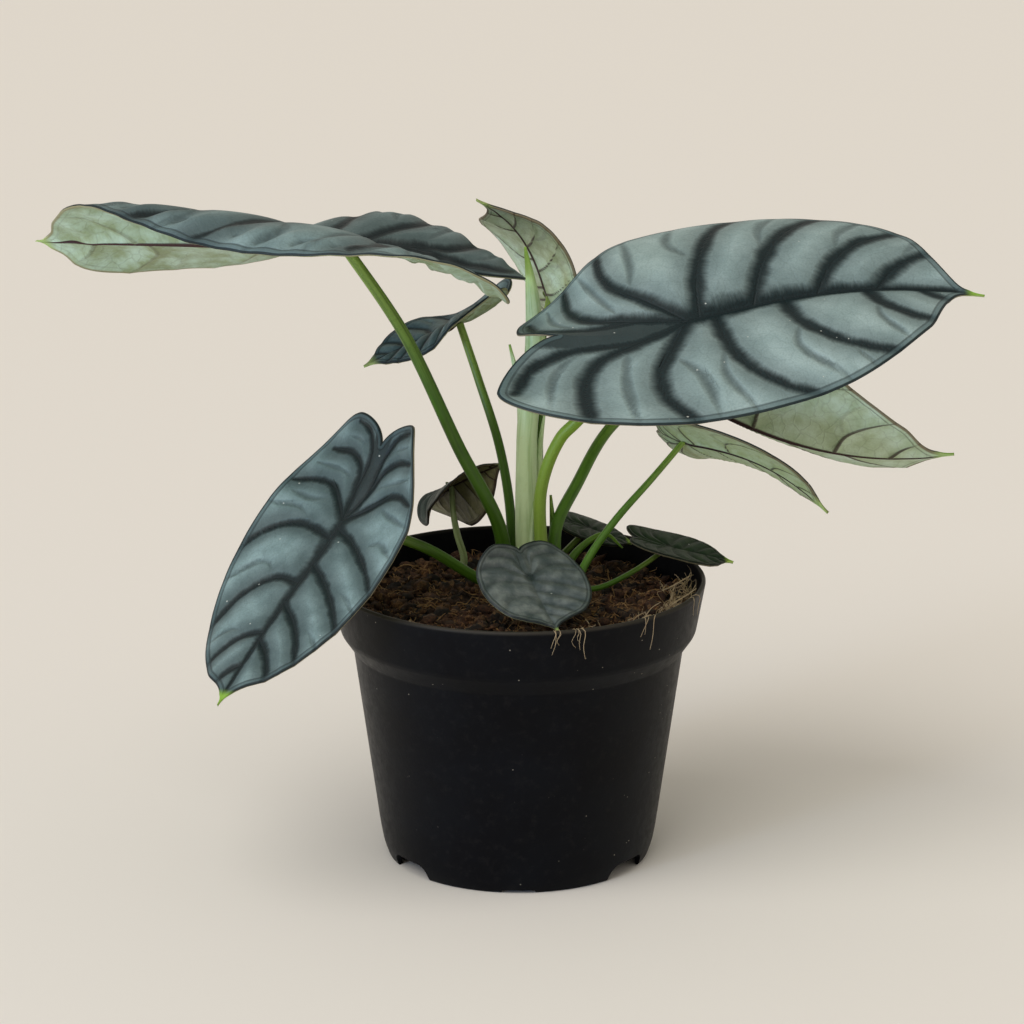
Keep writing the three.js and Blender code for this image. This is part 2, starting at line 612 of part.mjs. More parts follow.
addNode('pot', makePot(), COLOURS.pot, 0.45);
addNode('soil', makeSoil(holes), COLOURS.soil, 0.95);
addNode('stem', cylinder(STEM_RADIUS, STEM_LOW_Z, STEM_TOP_Z, ...STEM_AT, 12), COLOURS.stem, 0.7);
for (const [name, leaf] of Object.entries(LEAVES)) {
  addNode(`leaf_${name}`, makeBlade(leaf), leaf.colour, 0.5);
  addNode(`stalk_${name}`, makeStalk(name), COLOURS.stalk, 0.45);
}
addNode('new_leaf', makeNewLeaf(), COLOURS.spear, 0.45);
addNode('scale_leaf', cone(SCALE_LEAF, SCALE_TAPER_POWER, 6, 5), COLOURS.stalk, 0.5);

export default plant;
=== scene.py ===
"""Looks of the potted silver dragon alocasia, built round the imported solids.

The blades, stalks and new leaf repeat the forms of the solids in finer steps, and add the veins, the
sheaths, the crumbled peat with its fibres and the moulded detail of the nursery pot.
"""

import math
import random
from types import SimpleNamespace

import bmesh
import bpy
import numpy as np
from mathutils import Euler, Matrix, Vector, kdtree, noise


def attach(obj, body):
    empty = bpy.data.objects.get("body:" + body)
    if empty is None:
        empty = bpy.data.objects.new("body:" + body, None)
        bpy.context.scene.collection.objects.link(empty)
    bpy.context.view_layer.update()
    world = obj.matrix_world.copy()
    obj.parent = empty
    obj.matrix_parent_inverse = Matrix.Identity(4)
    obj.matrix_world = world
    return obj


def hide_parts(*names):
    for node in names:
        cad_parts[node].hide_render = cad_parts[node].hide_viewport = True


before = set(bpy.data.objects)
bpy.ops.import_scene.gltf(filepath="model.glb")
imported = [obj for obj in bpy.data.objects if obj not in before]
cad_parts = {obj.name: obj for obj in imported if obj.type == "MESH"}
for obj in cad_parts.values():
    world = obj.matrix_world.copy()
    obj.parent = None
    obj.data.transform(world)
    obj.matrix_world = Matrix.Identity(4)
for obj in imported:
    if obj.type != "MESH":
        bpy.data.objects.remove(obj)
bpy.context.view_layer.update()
MM = 0.001
SEED = 12
MERGE_DISTANCE = 0.002 * MM
CURVE_STEPS = 40


# Small helpers: smooth steps, meshes, pieces and nodes


def smooth(v):
    v = np.clip(v, 0, 1)
    return v * v * (3 - 2 * v)


def unit(v):
    return v / np.linalg.norm(v, axis=-1, keepdims=True)


def linear(hex_colour):
    """An sRGB hex colour as linear red, green, blue and alpha."""
    values = [int(hex_colour[i : i + 2], 16) / 255 for i in (1, 3, 5)]
    return [v / 12.92 if v <= 0.04045 else ((v + 0.055) / 1.055) ** 2.4 for v in values] + [1]


def curve_points(knots, count):
    """Points in even steps along a centripetal curve through the knots."""
    knots = np.array(knots, dtype=float)
    padded = np.vstack([2 * knots[0] - knots[1], knots, 2 * knots[-1] - knots[-2]])
    points = []
    for i in range(len(knots) - 1):
        p = padded[i : i + 4]
        gaps = np.maximum(np.linalg.norm(np.diff(p, axis=0), axis=1) ** 0.5, 1e-6)
        m1 = p[2] - p[1] + gaps[1] * ((p[1] - p[0]) / gaps[0] - (p[2] - p[0]) / (gaps[0] + gaps[1]))
        m2 = p[2] - p[1] + gaps[1] * ((p[3] - p[2]) / gaps[2] - (p[3] - p[1]) / (gaps[1] + gaps[2]))
        u = np.linspace(0, 1, CURVE_STEPS, endpoint=i == len(knots) - 2)[:, None]
        a, b = 2 * p[1] - 2 * p[2] + m1 + m2, -3 * p[1] + 3 * p[2] - 2 * m1 - m2
        points.append(((a * u + b) * u + m1) * u + p[1])
    points = np.vstack(points)
    length = np.concatenate([[0], np.cumsum(np.linalg.norm(np.diff(points, axis=0), axis=1))])
    even = np.linspace(0, length[-1], count)
    return np.stack([np.interp(even, length, points[:, k]) for k in range(3)], -1)


def finished(bm, name):
    """A new mesh from a bmesh that is done with."""
    mesh = bpy.data.meshes.new(name)
    bm.to_mesh(mesh)
    bm.free()
    return mesh


def linked(name, data):
    """A new object in the scene."""
    obj = bpy.data.objects.new(name, data)
    bpy.context.scene.collection.objects.link(obj)
    return obj


def grid(name, rows, columns):
    """A flat grid as a mesh, with each point's u and v from 0 to 1."""
    bm = bmesh.new()
    bmesh.ops.create_grid(bm, x_segments=rows, y_segments=columns, size=1)
    mesh = finished(bm, name)
    flat = np.zeros(len(mesh.vertices) * 3)
    mesh.vertices.foreach_get("co", flat)
    u, v = (flat.reshape(-1, 3)[:, :2].T + 1) / 2
    return mesh, u, v


def place(mesh, points):
    """Moves the points of a mesh, given in millimetres."""
    mesh.vertices.foreach_set("co", (np.asarray(points) * MM).ravel())
    mesh.update()


def keep(mesh, name, values):
    """Stores a number, or three, on each point for the materials to read."""
    values = np.asarray(values, dtype=float)
    kind, key = ("FLOAT", "value") if values.ndim == 1 else ("FLOAT_VECTOR", "vector")
    mesh.attributes.new(name, kind, "POINT").data.foreach_set(key, values.ravel())


def weld(mesh, fill=True):
    """Closes seams and poles, and the open ends unless told not to, and turns the form outwards."""
    bm = bmesh.new()
    bm.from_mesh(mesh)
    bmesh.ops.remove_doubles(bm, verts=bm.verts, dist=MERGE_DISTANCE)
    if fill:
        bmesh.ops.holes_fill(bm, edges=[e for e in bm.edges if e.is_boundary], sides=0)
    bmesh.ops.recalc_face_normals(bm, faces=bm.faces)
    bm.to_mesh(mesh)
    bm.free()
    for face in mesh.polygons:
        face.use_smooth = True
    return mesh


def join(name, meshes):
    """One mesh from several, with their stored numbers."""
    objects = [linked("part", mesh) for mesh in meshes]
    with bpy.context.temp_override(active_object=objects[0], selected_editable_objects=objects):
        bpy.ops.object.join()
    mesh = objects[0].data
    bpy.data.objects.remove(objects[0])
    mesh.name = name
    return mesh


def nearest(places, lines):
    """How far each flat place is from the nearest point of the lines, and that point's number."""
    points = np.vstack(lines)
    tree = kdtree.KDTree(len(points))
    for i, (x, y) in enumerate(points.tolist()):
        tree.insert((x, y, 0), i)
    tree.balance()
    found = np.array([tree.find((x, y, 0))[1:] for x, y in places.tolist()])
    return found[:, 1], found[:, 0].astype(int)


def piece(name, mesh, materials, node):
    """A finished piece of the plant. It stands for a solid where a node is given."""
    obj = linked(name, mesh)
    for material in materials:
        mesh.materials.append(material)
    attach(obj, "root")
    if node:
        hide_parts(node)


# Short names for the kinds of node used most: Blender's name, the sockets that are filled in order, the
# output and the settings. A name in capitals is an operation of the Math node.
NODE_KINDS = {
    "ramp": ("MapRange", range(5), 0, {"interpolation_type": "SMOOTHSTEP"}),
    "mix": ("Mix", (0, 6, 7), 2, {"data_type": "RGBA"}),
    "noise": ("TexNoise", ("Vector", "Scale", "Detail", "Roughness"), 0, {}),
    "cells": ("TexVoronoi", ("Vector", "Scale"), 0, {}),
    "cell_walls": ("TexVoronoi", ("Vector", "Scale"), 0, {"feature": "DISTANCE_TO_EDGE"}),
    "scaled": ("VectorMath", (0, 3), 0, {"operation": "SCALE"}),
    "bump": ("Bump", ("Height", "Distance", "Strength"), 0, {}),
}


def per(size_mm):
    """The scale of a pattern whose patches are about size_mm across on a vector in metres."""
    return 1 / (size_mm * MM)


class Recipe:
    """A material's nodes, added one by one."""

    def __init__(self, name):
        self.material = bpy.data.materials.new(name)
        self.material.use_nodes = True
        self.tree = self.material.node_tree
        self.shader = self.tree.nodes["Principled BSDF"]

    def feed(self, socket, value):
        """Links a socket to another node, or sets it to a number, a vector or a hex colour."""
        if isinstance(value, bpy.types.NodeSocket):
            self.tree.links.new(value, socket)
        else:
            socket.default_value = linear(value) if isinstance(value, str) else value

    def add(self, kind, *values, out=None, **settings):
        """Adds a node with its settings, feeds its sockets in order and gives back one of its outputs."""
        usual = ("Math", range(3), 0, {"operation": kind}) if kind.isupper() else (kind, range(3), 0, {})
        name, sockets, output, preset = NODE_KINDS.get(kind, usual)
        node = self.tree.nodes.new("ShaderNode" + name)
        for key, value in {**preset, **settings}.items():
            setattr(node, key, value)
        for socket, value in zip(sockets, values):
            self.feed(node.inputs[socket], value)
        return node.outputs[output if out is None else out]

    def fold(self, operation, value, *others):
        """One operation on many values."""
        for other in others:
            value = self.add(operation, value, other)
        return value

    def paint(self, colour, *coats):
        """Lays coats over a colour, each given by how far it covers and by its own colour."""
        for cover, coat in coats:
            colour = self.add("mix", cover, colour, coat)
        return colour

    def parts(self, attribute):
        """The three numbers stored under one name."""
        return self.add("SeparateXYZ", self.add("Attribute", out=1, attribute_name=attribute)).node.outputs

    def finish(self, colour, roughness, normal=None, **settings):
        """Feeds the shader. Plain numbers are set on its own sockets."""
        fed = {"Base Color": colour, "Roughness": roughness, "Normal": normal, **settings}
        for socket, value in fed.items():
            if value is not None:
                self.feed(self.shader.inputs[socket.replace("_", " ")], value)
        return self.material


# Camera, light and floor

CAMERA_AIM = Vector((-2.04, 0, 113.36)) * MM
CAMERA_DISTANCE = 1250 * MM
CAMERA_ELEVATION = math.radians(15.81)
CAMERA_CLIP = (0.05, 60)
SENSOR = 36
LENS = 137.9
KEY_POWER = 1.55
KEY_COLOUR = "#fffaf4"
KEY_TOWARDS = Vector((0.5, 0.62, -1))
KEY_SPREAD = math.radians(52)
SIDE_POWER = 9
SIDE_COLOUR = "#b9d6ff"
SIDE_PLACE = Vector((-1150, -1150, 200)) * MM
SIDE_AIM = Vector((0, 0, 50)) * MM
SIDE_SIZE = (260 * MM, 400 * MM)
BACKDROP = "#dfd7cc"
BACKDROP_STRENGTH = 0.71
FLOOR_COLOUR = "#e8e6e1"
FLOOR_RADIUS = 25
FLOOR_SIDES = 96


def set_camera():
    data = bpy.data.cameras.new("camera")
    data.sensor_width = SENSOR
    data.lens = LENS
    data.clip_start, data.clip_end = CAMERA_CLIP
    camera = linked("camera", data)
    back = Vector((0, -math.cos(CAMERA_ELEVATION), math.sin(CAMERA_ELEVATION)))
    camera.location = CAMERA_AIM + back * CAMERA_DISTANCE
    camera.rotation_euler = (-back).to_track_quat("-Z", "Y").to_euler()
    bpy.context.scene.camera = camera


def lamp(name, kind, towards, power, colour):
    data = bpy.data.lights.new(name, kind)
    data.energy = power
    data.color = linear(colour)[:3]
    obj = linked(name, data)
    obj.rotation_euler = towards.to_track_quat("-Z", "Y").to_euler()
    return obj


def set_light():
    # The key light is large and so far off that the floor is lit evenly
    key = lamp("key", "SUN", KEY_TOWARDS, KEY_POWER, KEY_COLOUR)
    key.data.angle = KEY_SPREAD
    # A cool softbox stands to the left of the camera, as a window does
    side = lamp("cool_side", "AREA", SIDE_AIM - SIDE_PLACE, SIDE_POWER, SIDE_COLOUR)
    side.location = SIDE_PLACE
    side.data.shape = "RECTANGLE"
    side.data.size, side.data.size_y = SIDE_SIZE
    world = bpy.data.worlds.new("studio")
    world.use_nodes = True
    sky = world.node_tree.nodes["Background"]
    sky.inputs["Color"].default_value = linear(BACKDROP)
    sky.inputs["Strength"].default_value = BACKDROP_STRENGTH
    bpy.context.scene.world = world
    bpy.context.scene.view_settings.view_transform = "Standard"


def set_floor():
    bm = bmesh.new()
    bmesh.ops.create_circle(bm, cap_ends=True, radius=FLOOR_RADIUS, segments=FLOOR_SIDES)
    floor = linked("floor", finished(bm, "floor"))
    floor.data.materials.append(Recipe("painted_studio_floor").finish(FLOOR_COLOUR, 1.0))


# Leaf blades: the form of the solids, in finer steps

THICKNESS = 0.9
RIM_ROUND = 0.28
RELIEF = 1.1
GROWN_HALF = 49
# The grid follows veins: where each starts on the midrib, as a share of front, and where it ends on the
# outline, which counts 0 at the notch, 1 at the lobe end, 2 at the widest point and 3 at the tip
VEINS = np.array(
    [[0, 0], [0, 0.85], [0, 1.3], [0, 1.65], [0.13, 1.97], [0.35, 2.32], [0.58, 2.6], [0.78, 2.82], [1, 3]]
)
VEIN_COUNT = len(VEINS) - 1
LAST_FAN_VEIN = 3
VEIN_BOW = 0.2
FAN_BOW_SHARE = 0.6
LEAST_BEND = 0.15
# The outline: the share of its front part at which the pointed tip starts, the tip's length, how the
# shoulders bow, over how many mm they blend into the tip, and how fast the tip's hollow widens
SPUR_FROM = 0.94
SPUR = 5
SHOULDER_POWER = 2.5
SHOULDER_ROUND = 0.8
SHOULDER_BLEND = 10
TIP_HOLLOW = (0.03, 0.0018)
NOTCH_SLOPE = 0.25
# How far from the midrib the two halves' folds blend into each other
SEAM_WIDTH = 4
RIB_STEPS = 40
SPUR_STEPS = 5
VEIN_SAMPLES = 400
OUTLINE_SAMPLES = 3000
# Sets the places along neighbouring veins apart, in mm, so that their streaks differ
VEIN_OFFSET = 70
# Puffs along the edge, in mm on a grown blade: how far in their row lies and its spread, how far from the
# stalk it starts, the length per radian of their wave and how it slants, and their height on each half
PUFF_ROW = 8
PUFF_SPREAD = 6
PUFFS_FROM = 20
PUFF_LENGTH = 1.6
PUFF_SLANT = 0.6
PUFFS = {1: 0.06, -1: 0.06}
# From this height on, the furrows between the puffs get painted shade: they are darkened like branches
PAINTED_FURROW_SHADE_FROM = 0.3

# Veins of each half from the lobe to the tip, each by points in shares of front (or of lobe where negative)
# and of the half width. In front of the stalk the two halves differ, as on the living leaf. Key 1 is the
# left half, -1 the right. They are drawn for a blade with this lobe width, and narrowed for the others.
ARC_LOBE_WIDTH = 0.59
REAR_ARCS = [
    [(0, 0), (-0.3, 0.1), (-0.66, 0.13), (-0.86, 0.3), (-0.93, 0.6)],
    [(-0.12, 0.05), (-0.35, 0.13), (-0.55, 0.25), (-0.64, 0.5), (-0.64, 0.9)],
    [(-0.02, 0.02), (-0.19, 0.27), (-0.31, 0.48), (-0.33, 0.72), (-0.25, 1)],
]
FRONT_ARCS = {
    -1: [
        [(0.1, 0), (0.06, 0.33), (0.07, 0.62), (0.16, 0.86), (0.28, 1)],
        [(0.35, 0), (0.34, 0.32), (0.44, 0.58), (0.62, 0.73), (0.76, 0.78)],
        [(0.64, 0), (0.67, 0.22), (0.78, 0.4), (0.92, 0.47)],
        [(0.83, 0), (0.88, 0.12), (0.96, 0.2)],
    ],
    1: [
        [(0.04, 0), (0.09, 0.28), (0.16, 0.52), (0.26, 0.78), (0.36, 0.97)],
        [(0.24, 0), (0.31, 0.25), (0.41, 0.5), (0.54, 0.74), (0.64, 0.88)],
        [(0.47, 0), (0.54, 0.2), (0.65, 0.4), (0.8, 0.55)],
        [(0.68, 0), (0.75, 0.16), (0.86, 0.3), (0.96, 0.34)],
    ],
}
BRANCH_ARCS = {
    -1: [
        [(-0.62, 0.12), (-0.76, 0.35), (-0.78, 0.75)],
        [(-0.4, 0.15), (-0.46, 0.45), (-0.48, 0.95)],
        [(-0.22, 0.32), (-0.14, 0.6), (-0.16, 1)],
        [(0.06, 0.35), (-0.02, 0.62), (0.02, 1)],
        [(0.34, 0.34), (0.28, 0.58), (0.42, 0.95)],
        [(0.45, 0.58), (0.49, 0.72), (0.56, 0.88)],
        [(0.66, 0.2), (0.64, 0.4), (0.74, 0.68)],
    ],
    1: [
        [(-0.62, 0.12), (-0.74, 0.32), (-0.8, 0.7)],
        [(-0.36, 0.14), (-0.42, 0.4), (-0.5, 0.95)],
        [(-0.24, 0.36), (-0.14, 0.62), (-0.04, 1)],
        [(0.13, 0.42), (0.08, 0.68), (0.16, 1)],
        [(0.35, 0.34), (0.37, 0.6), (0.48, 0.92)],
        [(0.58, 0.28), (0.6, 0.48), (0.72, 0.74)],
        [(0.78, 0.18), (0.8, 0.3), (0.88, 0.48)],
    ],
}
# Where a list of so many angles stands: -1 at the lobe ends, 0 at the stalk, 1 at the tip
PLACES = {1: [0], 3: [-1, 0, 1], 4: [-1, 0, 0.4, 1], 5: [-1, 0, 0.4, 0.8, 1]}


class Leaf:
    """One blade, as the solids have it: where its stalk joins it, its lengths in front of and behind that
    place and its half width in mm, shares for the lobes, the notch and the widest point, and its angles."""

    def __init__(self, at, front, lobe, half, lobe_width, notch, widest, yaw, pitch, roll, **rest):
        self.at = np.array(at, dtype=float)
        self.front, self.lobe, self.half, self.size = front, lobe, half, half / GROWN_HALF
        self.lobe_width, self.notch, self.widest = lobe_width, notch, widest
        self.yaw, self.pitch, self.roll = yaw, pitch, roll
        self.fold = {1: rest["fold_left"], -1: rest["fold_right"]}
        self.curl = {1: rest["curl_left"], -1: rest["curl_right"]}
        self.spur = rest.get("spur", SPUR)
        self.relief = rest.get("relief", RELIEF)
        self.blunt = rest.get("blunt", 1)
        self.puffs = rest.get("puffs", PUFFS)
        self.rib = {sign: self.walk(sign) for sign in (1, -1)}

    def outline(self, e):
        """Flat place on the edge of the left half, for e from 0 at the notch to 3 at the tip."""
        lobe_y = self.lobe_width * self.half
        wide_x = self.widest * self.front
        quarter = math.pi / 2
        a = np.clip(e, 0, 1)
        back_x = -self.lobe * (self.notch + (1 - self.notch) * np.sin(quarter * a))
        back_y = lobe_y * (NOTCH_SLOPE * a + (1 - NOTCH_SLOPE) * (1 - np.cos(quarter * a)))
        a = np.clip(e - 1, 0, 1)
        side_x = wide_x - (wide_x + self.lobe) * np.cos(quarter * a)
        side_y = lobe_y + (self.half - lobe_y) * np.sin(quarter * a)
        a = np.clip(e - 2, 0, 1)
        along = np.sin(quarter * np.minimum(a / SPUR_FROM, 1))
        spur = self.spur * np.clip((a - SPUR_FROM) / (1 - SPUR_FROM), 0, 1)
        front_x = wide_x + (self.front - wide_x) * along + spur
        body = self.half * (1 - along**SHOULDER_POWER) ** SHOULDER_ROUND
        # The shoulders run into the point in one hollow curve
        left_over = self.front + self.spur - front_x
        square, cube = TIP_HOLLOW
        hollow = self.blunt * (square * left_over**2 / self.size + cube * left_over**3 / self.size**2)
        blend = SHOULDER_BLEND * self.size
        share = np.clip(0.5 + (body - hollow) / (2 * blend), 0, 1)
        joined = body + (hollow - body) * share - blend * share * (1 - share)
        front_y = hollow + (joined - hollow) * smooth(left_over / self.spur - 1)
        x = np.where(e <= 1, back_x, np.where(e <= 2, side_x, front_x))
        y = np.where(e <= 1, back_y, np.where(e <= 2, side_y, front_y))
        return x, y

    def flat(self, s, t):
        """Flat place of vein s at share t from the midrib to the edge."""
        steps = np.arange(VEIN_COUNT + 1)
        root = np.interp(s, steps, VEINS[:, 0])
        edge_x, edge_y = self.outline(np.interp(s, steps, VEINS[:, 1]))
        rib_x = (self.front + self.spur * smooth(s + 1 - VEIN_COUNT)) * root
        bow = VEIN_BOW * np.clip(s, 0, 1) * np.clip(VEIN_COUNT - s, 0, 1)
        dx = edge_x - rib_x
        bend_x = rib_x + dx / 2 - edge_y * bow
        bend_y = edge_y / 2 + dx * bow * np.where(s < LAST_FAN_VEIN, FAN_BOW_SHARE, 1)
        bend_y = np.maximum(bend_y, LEAST_BEND * edge_y)
        x = (1 - t) ** 2 * rib_x + 2 * t * (1 - t) * bend_x + t * t * edge_x
        y = 2 * t * (1 - t) * bend_y + t * t * edge_y
        return x, y

    def angle(self, q, degrees):
        """A smooth curve through listed angles, in radians."""
        places = PLACES[len(degrees)]
        if len(degrees) == 1:
            return np.full_like(q, math.radians(degrees[0]))
        values = np.radians(degrees)
        slopes = np.gradient(values, places, edge_order=1)
        for i in range(1, len(places) - 1):
            slopes[i] = (values[i + 1] - values[i - 1]) / (places[i + 1] - places[i - 1])
        v = np.clip(q, places[0], places[-1])
        k = np.clip(np.searchsorted(places, v, side="right") - 1, 0, len(places) - 2)
        h = np.diff(places)[k]
        u = (v - np.take(places, k)) / h
        ahead = (3 * u**2 - 2 * u**3) * values[k + 1] + (u**3 - u**2) * h * slopes[k + 1]
        return (2 * u**3 - 3 * u**2 + 1) * values[k] + (u**3 - 2 * u**2 + u) * h * slopes[k] + ahead

    def directions(self, q):
        """Along, across and normal at q: -1 at the lobe ends, 0 at the stalk, 1 at the tip."""
        yaw, pitch, roll = (self.angle(q, a) for a in (self.yaw, self.pitch, self.roll))
        flat = np.zeros_like(q)
        along = np.stack([np.cos(pitch) * np.cos(yaw), np.cos(pitch) * np.sin(yaw), np.sin(pitch)], -1)
        level = np.stack([-np.sin(yaw), np.cos(yaw), flat], -1)
        up = np.cross(along, level)
        c, s = np.cos(roll)[..., None], np.sin(roll)[..., None]
        return along, level * c + up * s, up * c - level * s

    def walk(self, sign):
        """The midrib's curve from the stalk, forwards or back."""
        middles = sign * (np.arange(RIB_STEPS + SPUR_STEPS) + 0.5) / RIB_STEPS
        length = self.front if sign > 0 else self.lobe
        steps = self.directions(middles)[0] * sign * length / RIB_STEPS
        return np.vstack([self.at, self.at + np.cumsum(steps, 0)])

    def spine(self, x):
        """Point of the midrib's curve at flat place x, and its share q."""
        q = np.where(x >= 0, x / self.front, x / self.lobe)
        steps = np.arange(RIB_STEPS + SPUR_STEPS + 1) / RIB_STEPS
        points = []
        for axis in range(3):
            ahead = np.interp(np.abs(q), steps, self.rib[1][:, axis])
            behind = np.interp(np.abs(q), steps, self.rib[-1][:, axis])
            points.append(np.where(x >= 0, ahead, behind))
        return q, np.stack(points, -1)

    def arc(self, shares):
        """One vein in flat millimetres, from shares of front or lobe and of the half width."""
        points = []
        for x, y in shares:
            narrow = 1 + (self.lobe_width / ARC_LOBE_WIDTH - 1) * min(max(-x / 0.6, 0), 1)
            points.append((x * (self.front if x > 0 else self.lobe), self.half * y * narrow, 0))
        return curve_points(points, VEIN_SAMPLES)[:, :2]

    def veins(self, flat, side):
        """Each flat place's nearest vein: distance, place along it in mm and share of its length. Then the
        distance of the nearest branch, which grows where the branch fades."""
        vein, branch = np.zeros((len(flat), 3)), np.zeros(len(flat))
        for sign in (1, -1):
            here = side == sign
            arcs = [self.arc(shares) for shares in REAR_ARCS + FRONT_ARCS[sign]]
            distance, point = nearest(flat[here], arcs)
            number, share = point // VEIN_SAMPLES, point % VEIN_SAMPLES / (VEIN_SAMPLES - 1)
            length = np.array([np.linalg.norm(np.diff(arc, axis=0), axis=1).sum() for arc in arcs])
            vein[here] = np.stack([distance, share * length[number] + VEIN_OFFSET * number, share], -1)
            distance, point = nearest(flat[here], [self.arc(shares) for shares in BRANCH_ARCS[sign]])
            share = point % VEIN_SAMPLES / (VEIN_SAMPLES - 1)
            fade = 1.2 * smooth((share - 0.6) / 0.4) + 0.7 * smooth(1 - share / 0.2)
            branch[here] = distance + fade * self.size
        return vein, branch

    def puff_row(self, x, y, side, edge):
        """The puffs along the edge: how high they are, the angle of their wave and how strong the row is."""
        size = self.size
        row = np.exp(-(((edge - PUFF_ROW * size) / (PUFF_SPREAD * size)) ** 2))
        row = row * smooth(np.hypot(x, y) / (PUFFS_FROM * size) - 0.3)
        high = np.where(side > 0, self.puffs[1], self.puffs[-1])
        return high, (x + PUFF_SLANT * edge) / (PUFF_LENGTH * size), row

    def surface(self, x, y, side, height):
        """Points of the blade at flat places, raised by height. side is 1 on the left, -1 on the right."""
        q, point = self.spine(x)
        _, across, normal = self.directions(q)
        fold = np.where(side > 0, self.angle(q, self.fold[1]), self.angle(q, self.fold[-1]))
        bend = np.where(side > 0, self.angle(q, self.curl[1]), self.angle(q, self.curl[-1])) / self.half
        straight = np.abs(bend) < 1e-6
        arc = np.where(straight, 1, bend)
        out = np.where(straight, y * np.cos(fold), (np.sin(fold + arc * y) - np.sin(fold)) / arc)
        up = np.where(straight, y * np.sin(fold), (np.cos(fold) - np.cos(fold + arc * y)) / arc)
        slope = (fold + bend * y) * np.minimum(y / SEAM_WIDTH, 1)
        sideways = (side * (out - np.sin(slope) * height))[..., None]
        return point + across * sideways + normal * (up + np.cos(slope) * height)[..., None]


LEAVES = {
    "left": Leaf(
        (-53.5, -12, 201.5), 105.5, 55.5, 49, 0.47, 0.63, -0.15,
        yaw=[172, 162, 152], pitch=[27, 1, -6], roll=[-9, 4, 25, 37, 77],
        fold_left=[8, 37, 38, 21, -41], curl_left=[45, -65, -111, -82, -16],
        fold_right=[9, 33, 7, -1], curl_right=[-69, -62, 3, -6], relief=1.6, blunt=2.2,
        puffs={1: 0.9, -1: 0.25},
    ),
    "right": Leaf(
        (52.5, -18, 179.5), 93, 55.5, 48.5, 0.59, 0.76, 0.1,
        yaw=[-5, 21, 3], pitch=[-12, 9, -7], roll=[15, 23, 27],
        fold_left=[-44, 27, 18], curl_left=[51, -57, -66],
        fold_right=[-27, 15, 22], curl_right=[42, -32, -38],
    ),
    "right_behind": Leaf(
        (47, 34, 148), 95, 35, 39, 0.4, 0.75, 0.05,
        yaw=[2, 0, -4], pitch=[5, -30, 6], roll=[-46, -45, -42],
        fold_left=[-15, 32, 7], curl_left=[-11, 3, 24],
        fold_right=[-26, 22, 9], curl_right=[0],
    ),
    "right_low": Leaf(
        (53, 17, 132), 50, 13, 18, 0.44, 0.75, 0.05,
        yaw=[-50, -36, -8], pitch=[-40, 0, -43], roll=[-58, -47, -37],
        fold_left=[3], curl_left=[31], fold_right=[2], curl_right=[-19], relief=0.3,
        blunt=0.4,
    ),
    "top": Leaf(
        (10, 40, 174), 46, 11, 21, 0.48, 0.75, 0.06,
        yaw=[244, 229, 222], pitch=[52, 69, 28], roll=[-35, -15, 25],
        fold_left=[-12], curl_left=[14], fold_right=[1], curl_right=[20], relief=0.6,
        blunt=0.25,
    ),
    "middle_left": Leaf(
        (-19, 25, 169.5), 30, 20.5, 15, 0.41, 0.75, 0.02,
        yaw=[170, 182, 193], pitch=[-40, -24, -24], roll=[8, 20, 2, -19],
        fold_left=[20, 14, 12], curl_left=[-20, -42, -42], fold_right=[32, 8, -4], curl_right=[0, 20, 38],
        blunt=0.4,
    ),
    "front_left": Leaf(
        (-55, -24, 117), 72, 36, 32, 0.46, 0.77, 0.02,
        yaw=[225, 226, 244], pitch=[-71, -41, -29], roll=[-2, 0, -2],
        fold_left=[-1], curl_left=[75, 17, 15], fold_right=[-9], curl_right=[-15, 27, -41],
    ),
    "front_small": Leaf(
        (3.5, -32, 101), 24, 13, 18.5, 0.46, 0.82, 0.05,
        yaw=[-58, -68, -66], pitch=[-53, -33, -19], roll=[-10, -2, 2],
        fold_left=[3], curl_left=[-5], fold_right=[6], curl_right=[2], spur=2, relief=0.6,
    ),
    "back_left": Leaf(
        (-22, 45, 110), 29, 16, 15, 0.44, 0.75, 0.04,
        yaw=[-20, -48, -52], pitch=[25, 27, 24], roll=[-14, -49, -77],
        fold_left=[-22], curl_left=[-16], fold_right=[-52], curl_right=[-50], spur=3, relief=0.5,
        blunt=0.4,
    ),
    "right_rim": Leaf(
        (48.5, 16, 97), 20, 14, 10.5, 0.45, 0.75, 0.08,
        yaw=[10, 10, 8], pitch=[-24, -16, -16], roll=[5, 4, 8],
        fold_left=[12], curl_left=[-8], fold_right=[-5], curl_right=[11], spur=3, relief=0.5,
        blunt=0.4,
    ),
    "back_small": Leaf(
        (23, 36, 97.5), 14, 10, 8.5, 0.45, 0.75, 0.06,
        yaw=[0, 5, 10], pitch=[-16, -20, -22], roll=[8, 8, 8],
        fold_left=[16], curl_left=[-30], fold_right=[5], curl_right=[-20], spur=3, relief=0.5,
        blunt=0.4,
    ),
}

# Rows per vein and columns of one half, by the blade's half width: over 30 mm, over 14 mm and smaller
BLADE_STEPS = [(30, 30, 50), (14, 18, 30), (0, 12, 20)]


def quilt(leaf, x, y, side, vein, branch, edge):
    """Height of the panels, which swell between the sunk veins and level out at the stalk and the edge."""
    size = leaf.size
    # Deep grooves lie over the veins and shallow creases over the branches; the midrib ends at the stalk
    to_rib = y + 9 * smooth(-x / leaf.lobe / 0.3)
    groove = np.exp(-((np.minimum(vein[:, 0], to_rib) / (3.4 * size + 0.4)) ** 1.6))
    crease = 0.45 * np.exp(-((branch / (2 * size + 0.3)) ** 1.6))
    calm = (1 - 0.8 * np.exp(-edge / (5 * size + 0.5))) * smooth(np.hypot(x, y) / (16 * size) + 0.15)
    high, wave, row = leaf.puff_row(x, y, side, edge)
    return leaf.relief * (0.5 - np.maximum(groove, crease)) * calm + high * np.cos(wave) * row


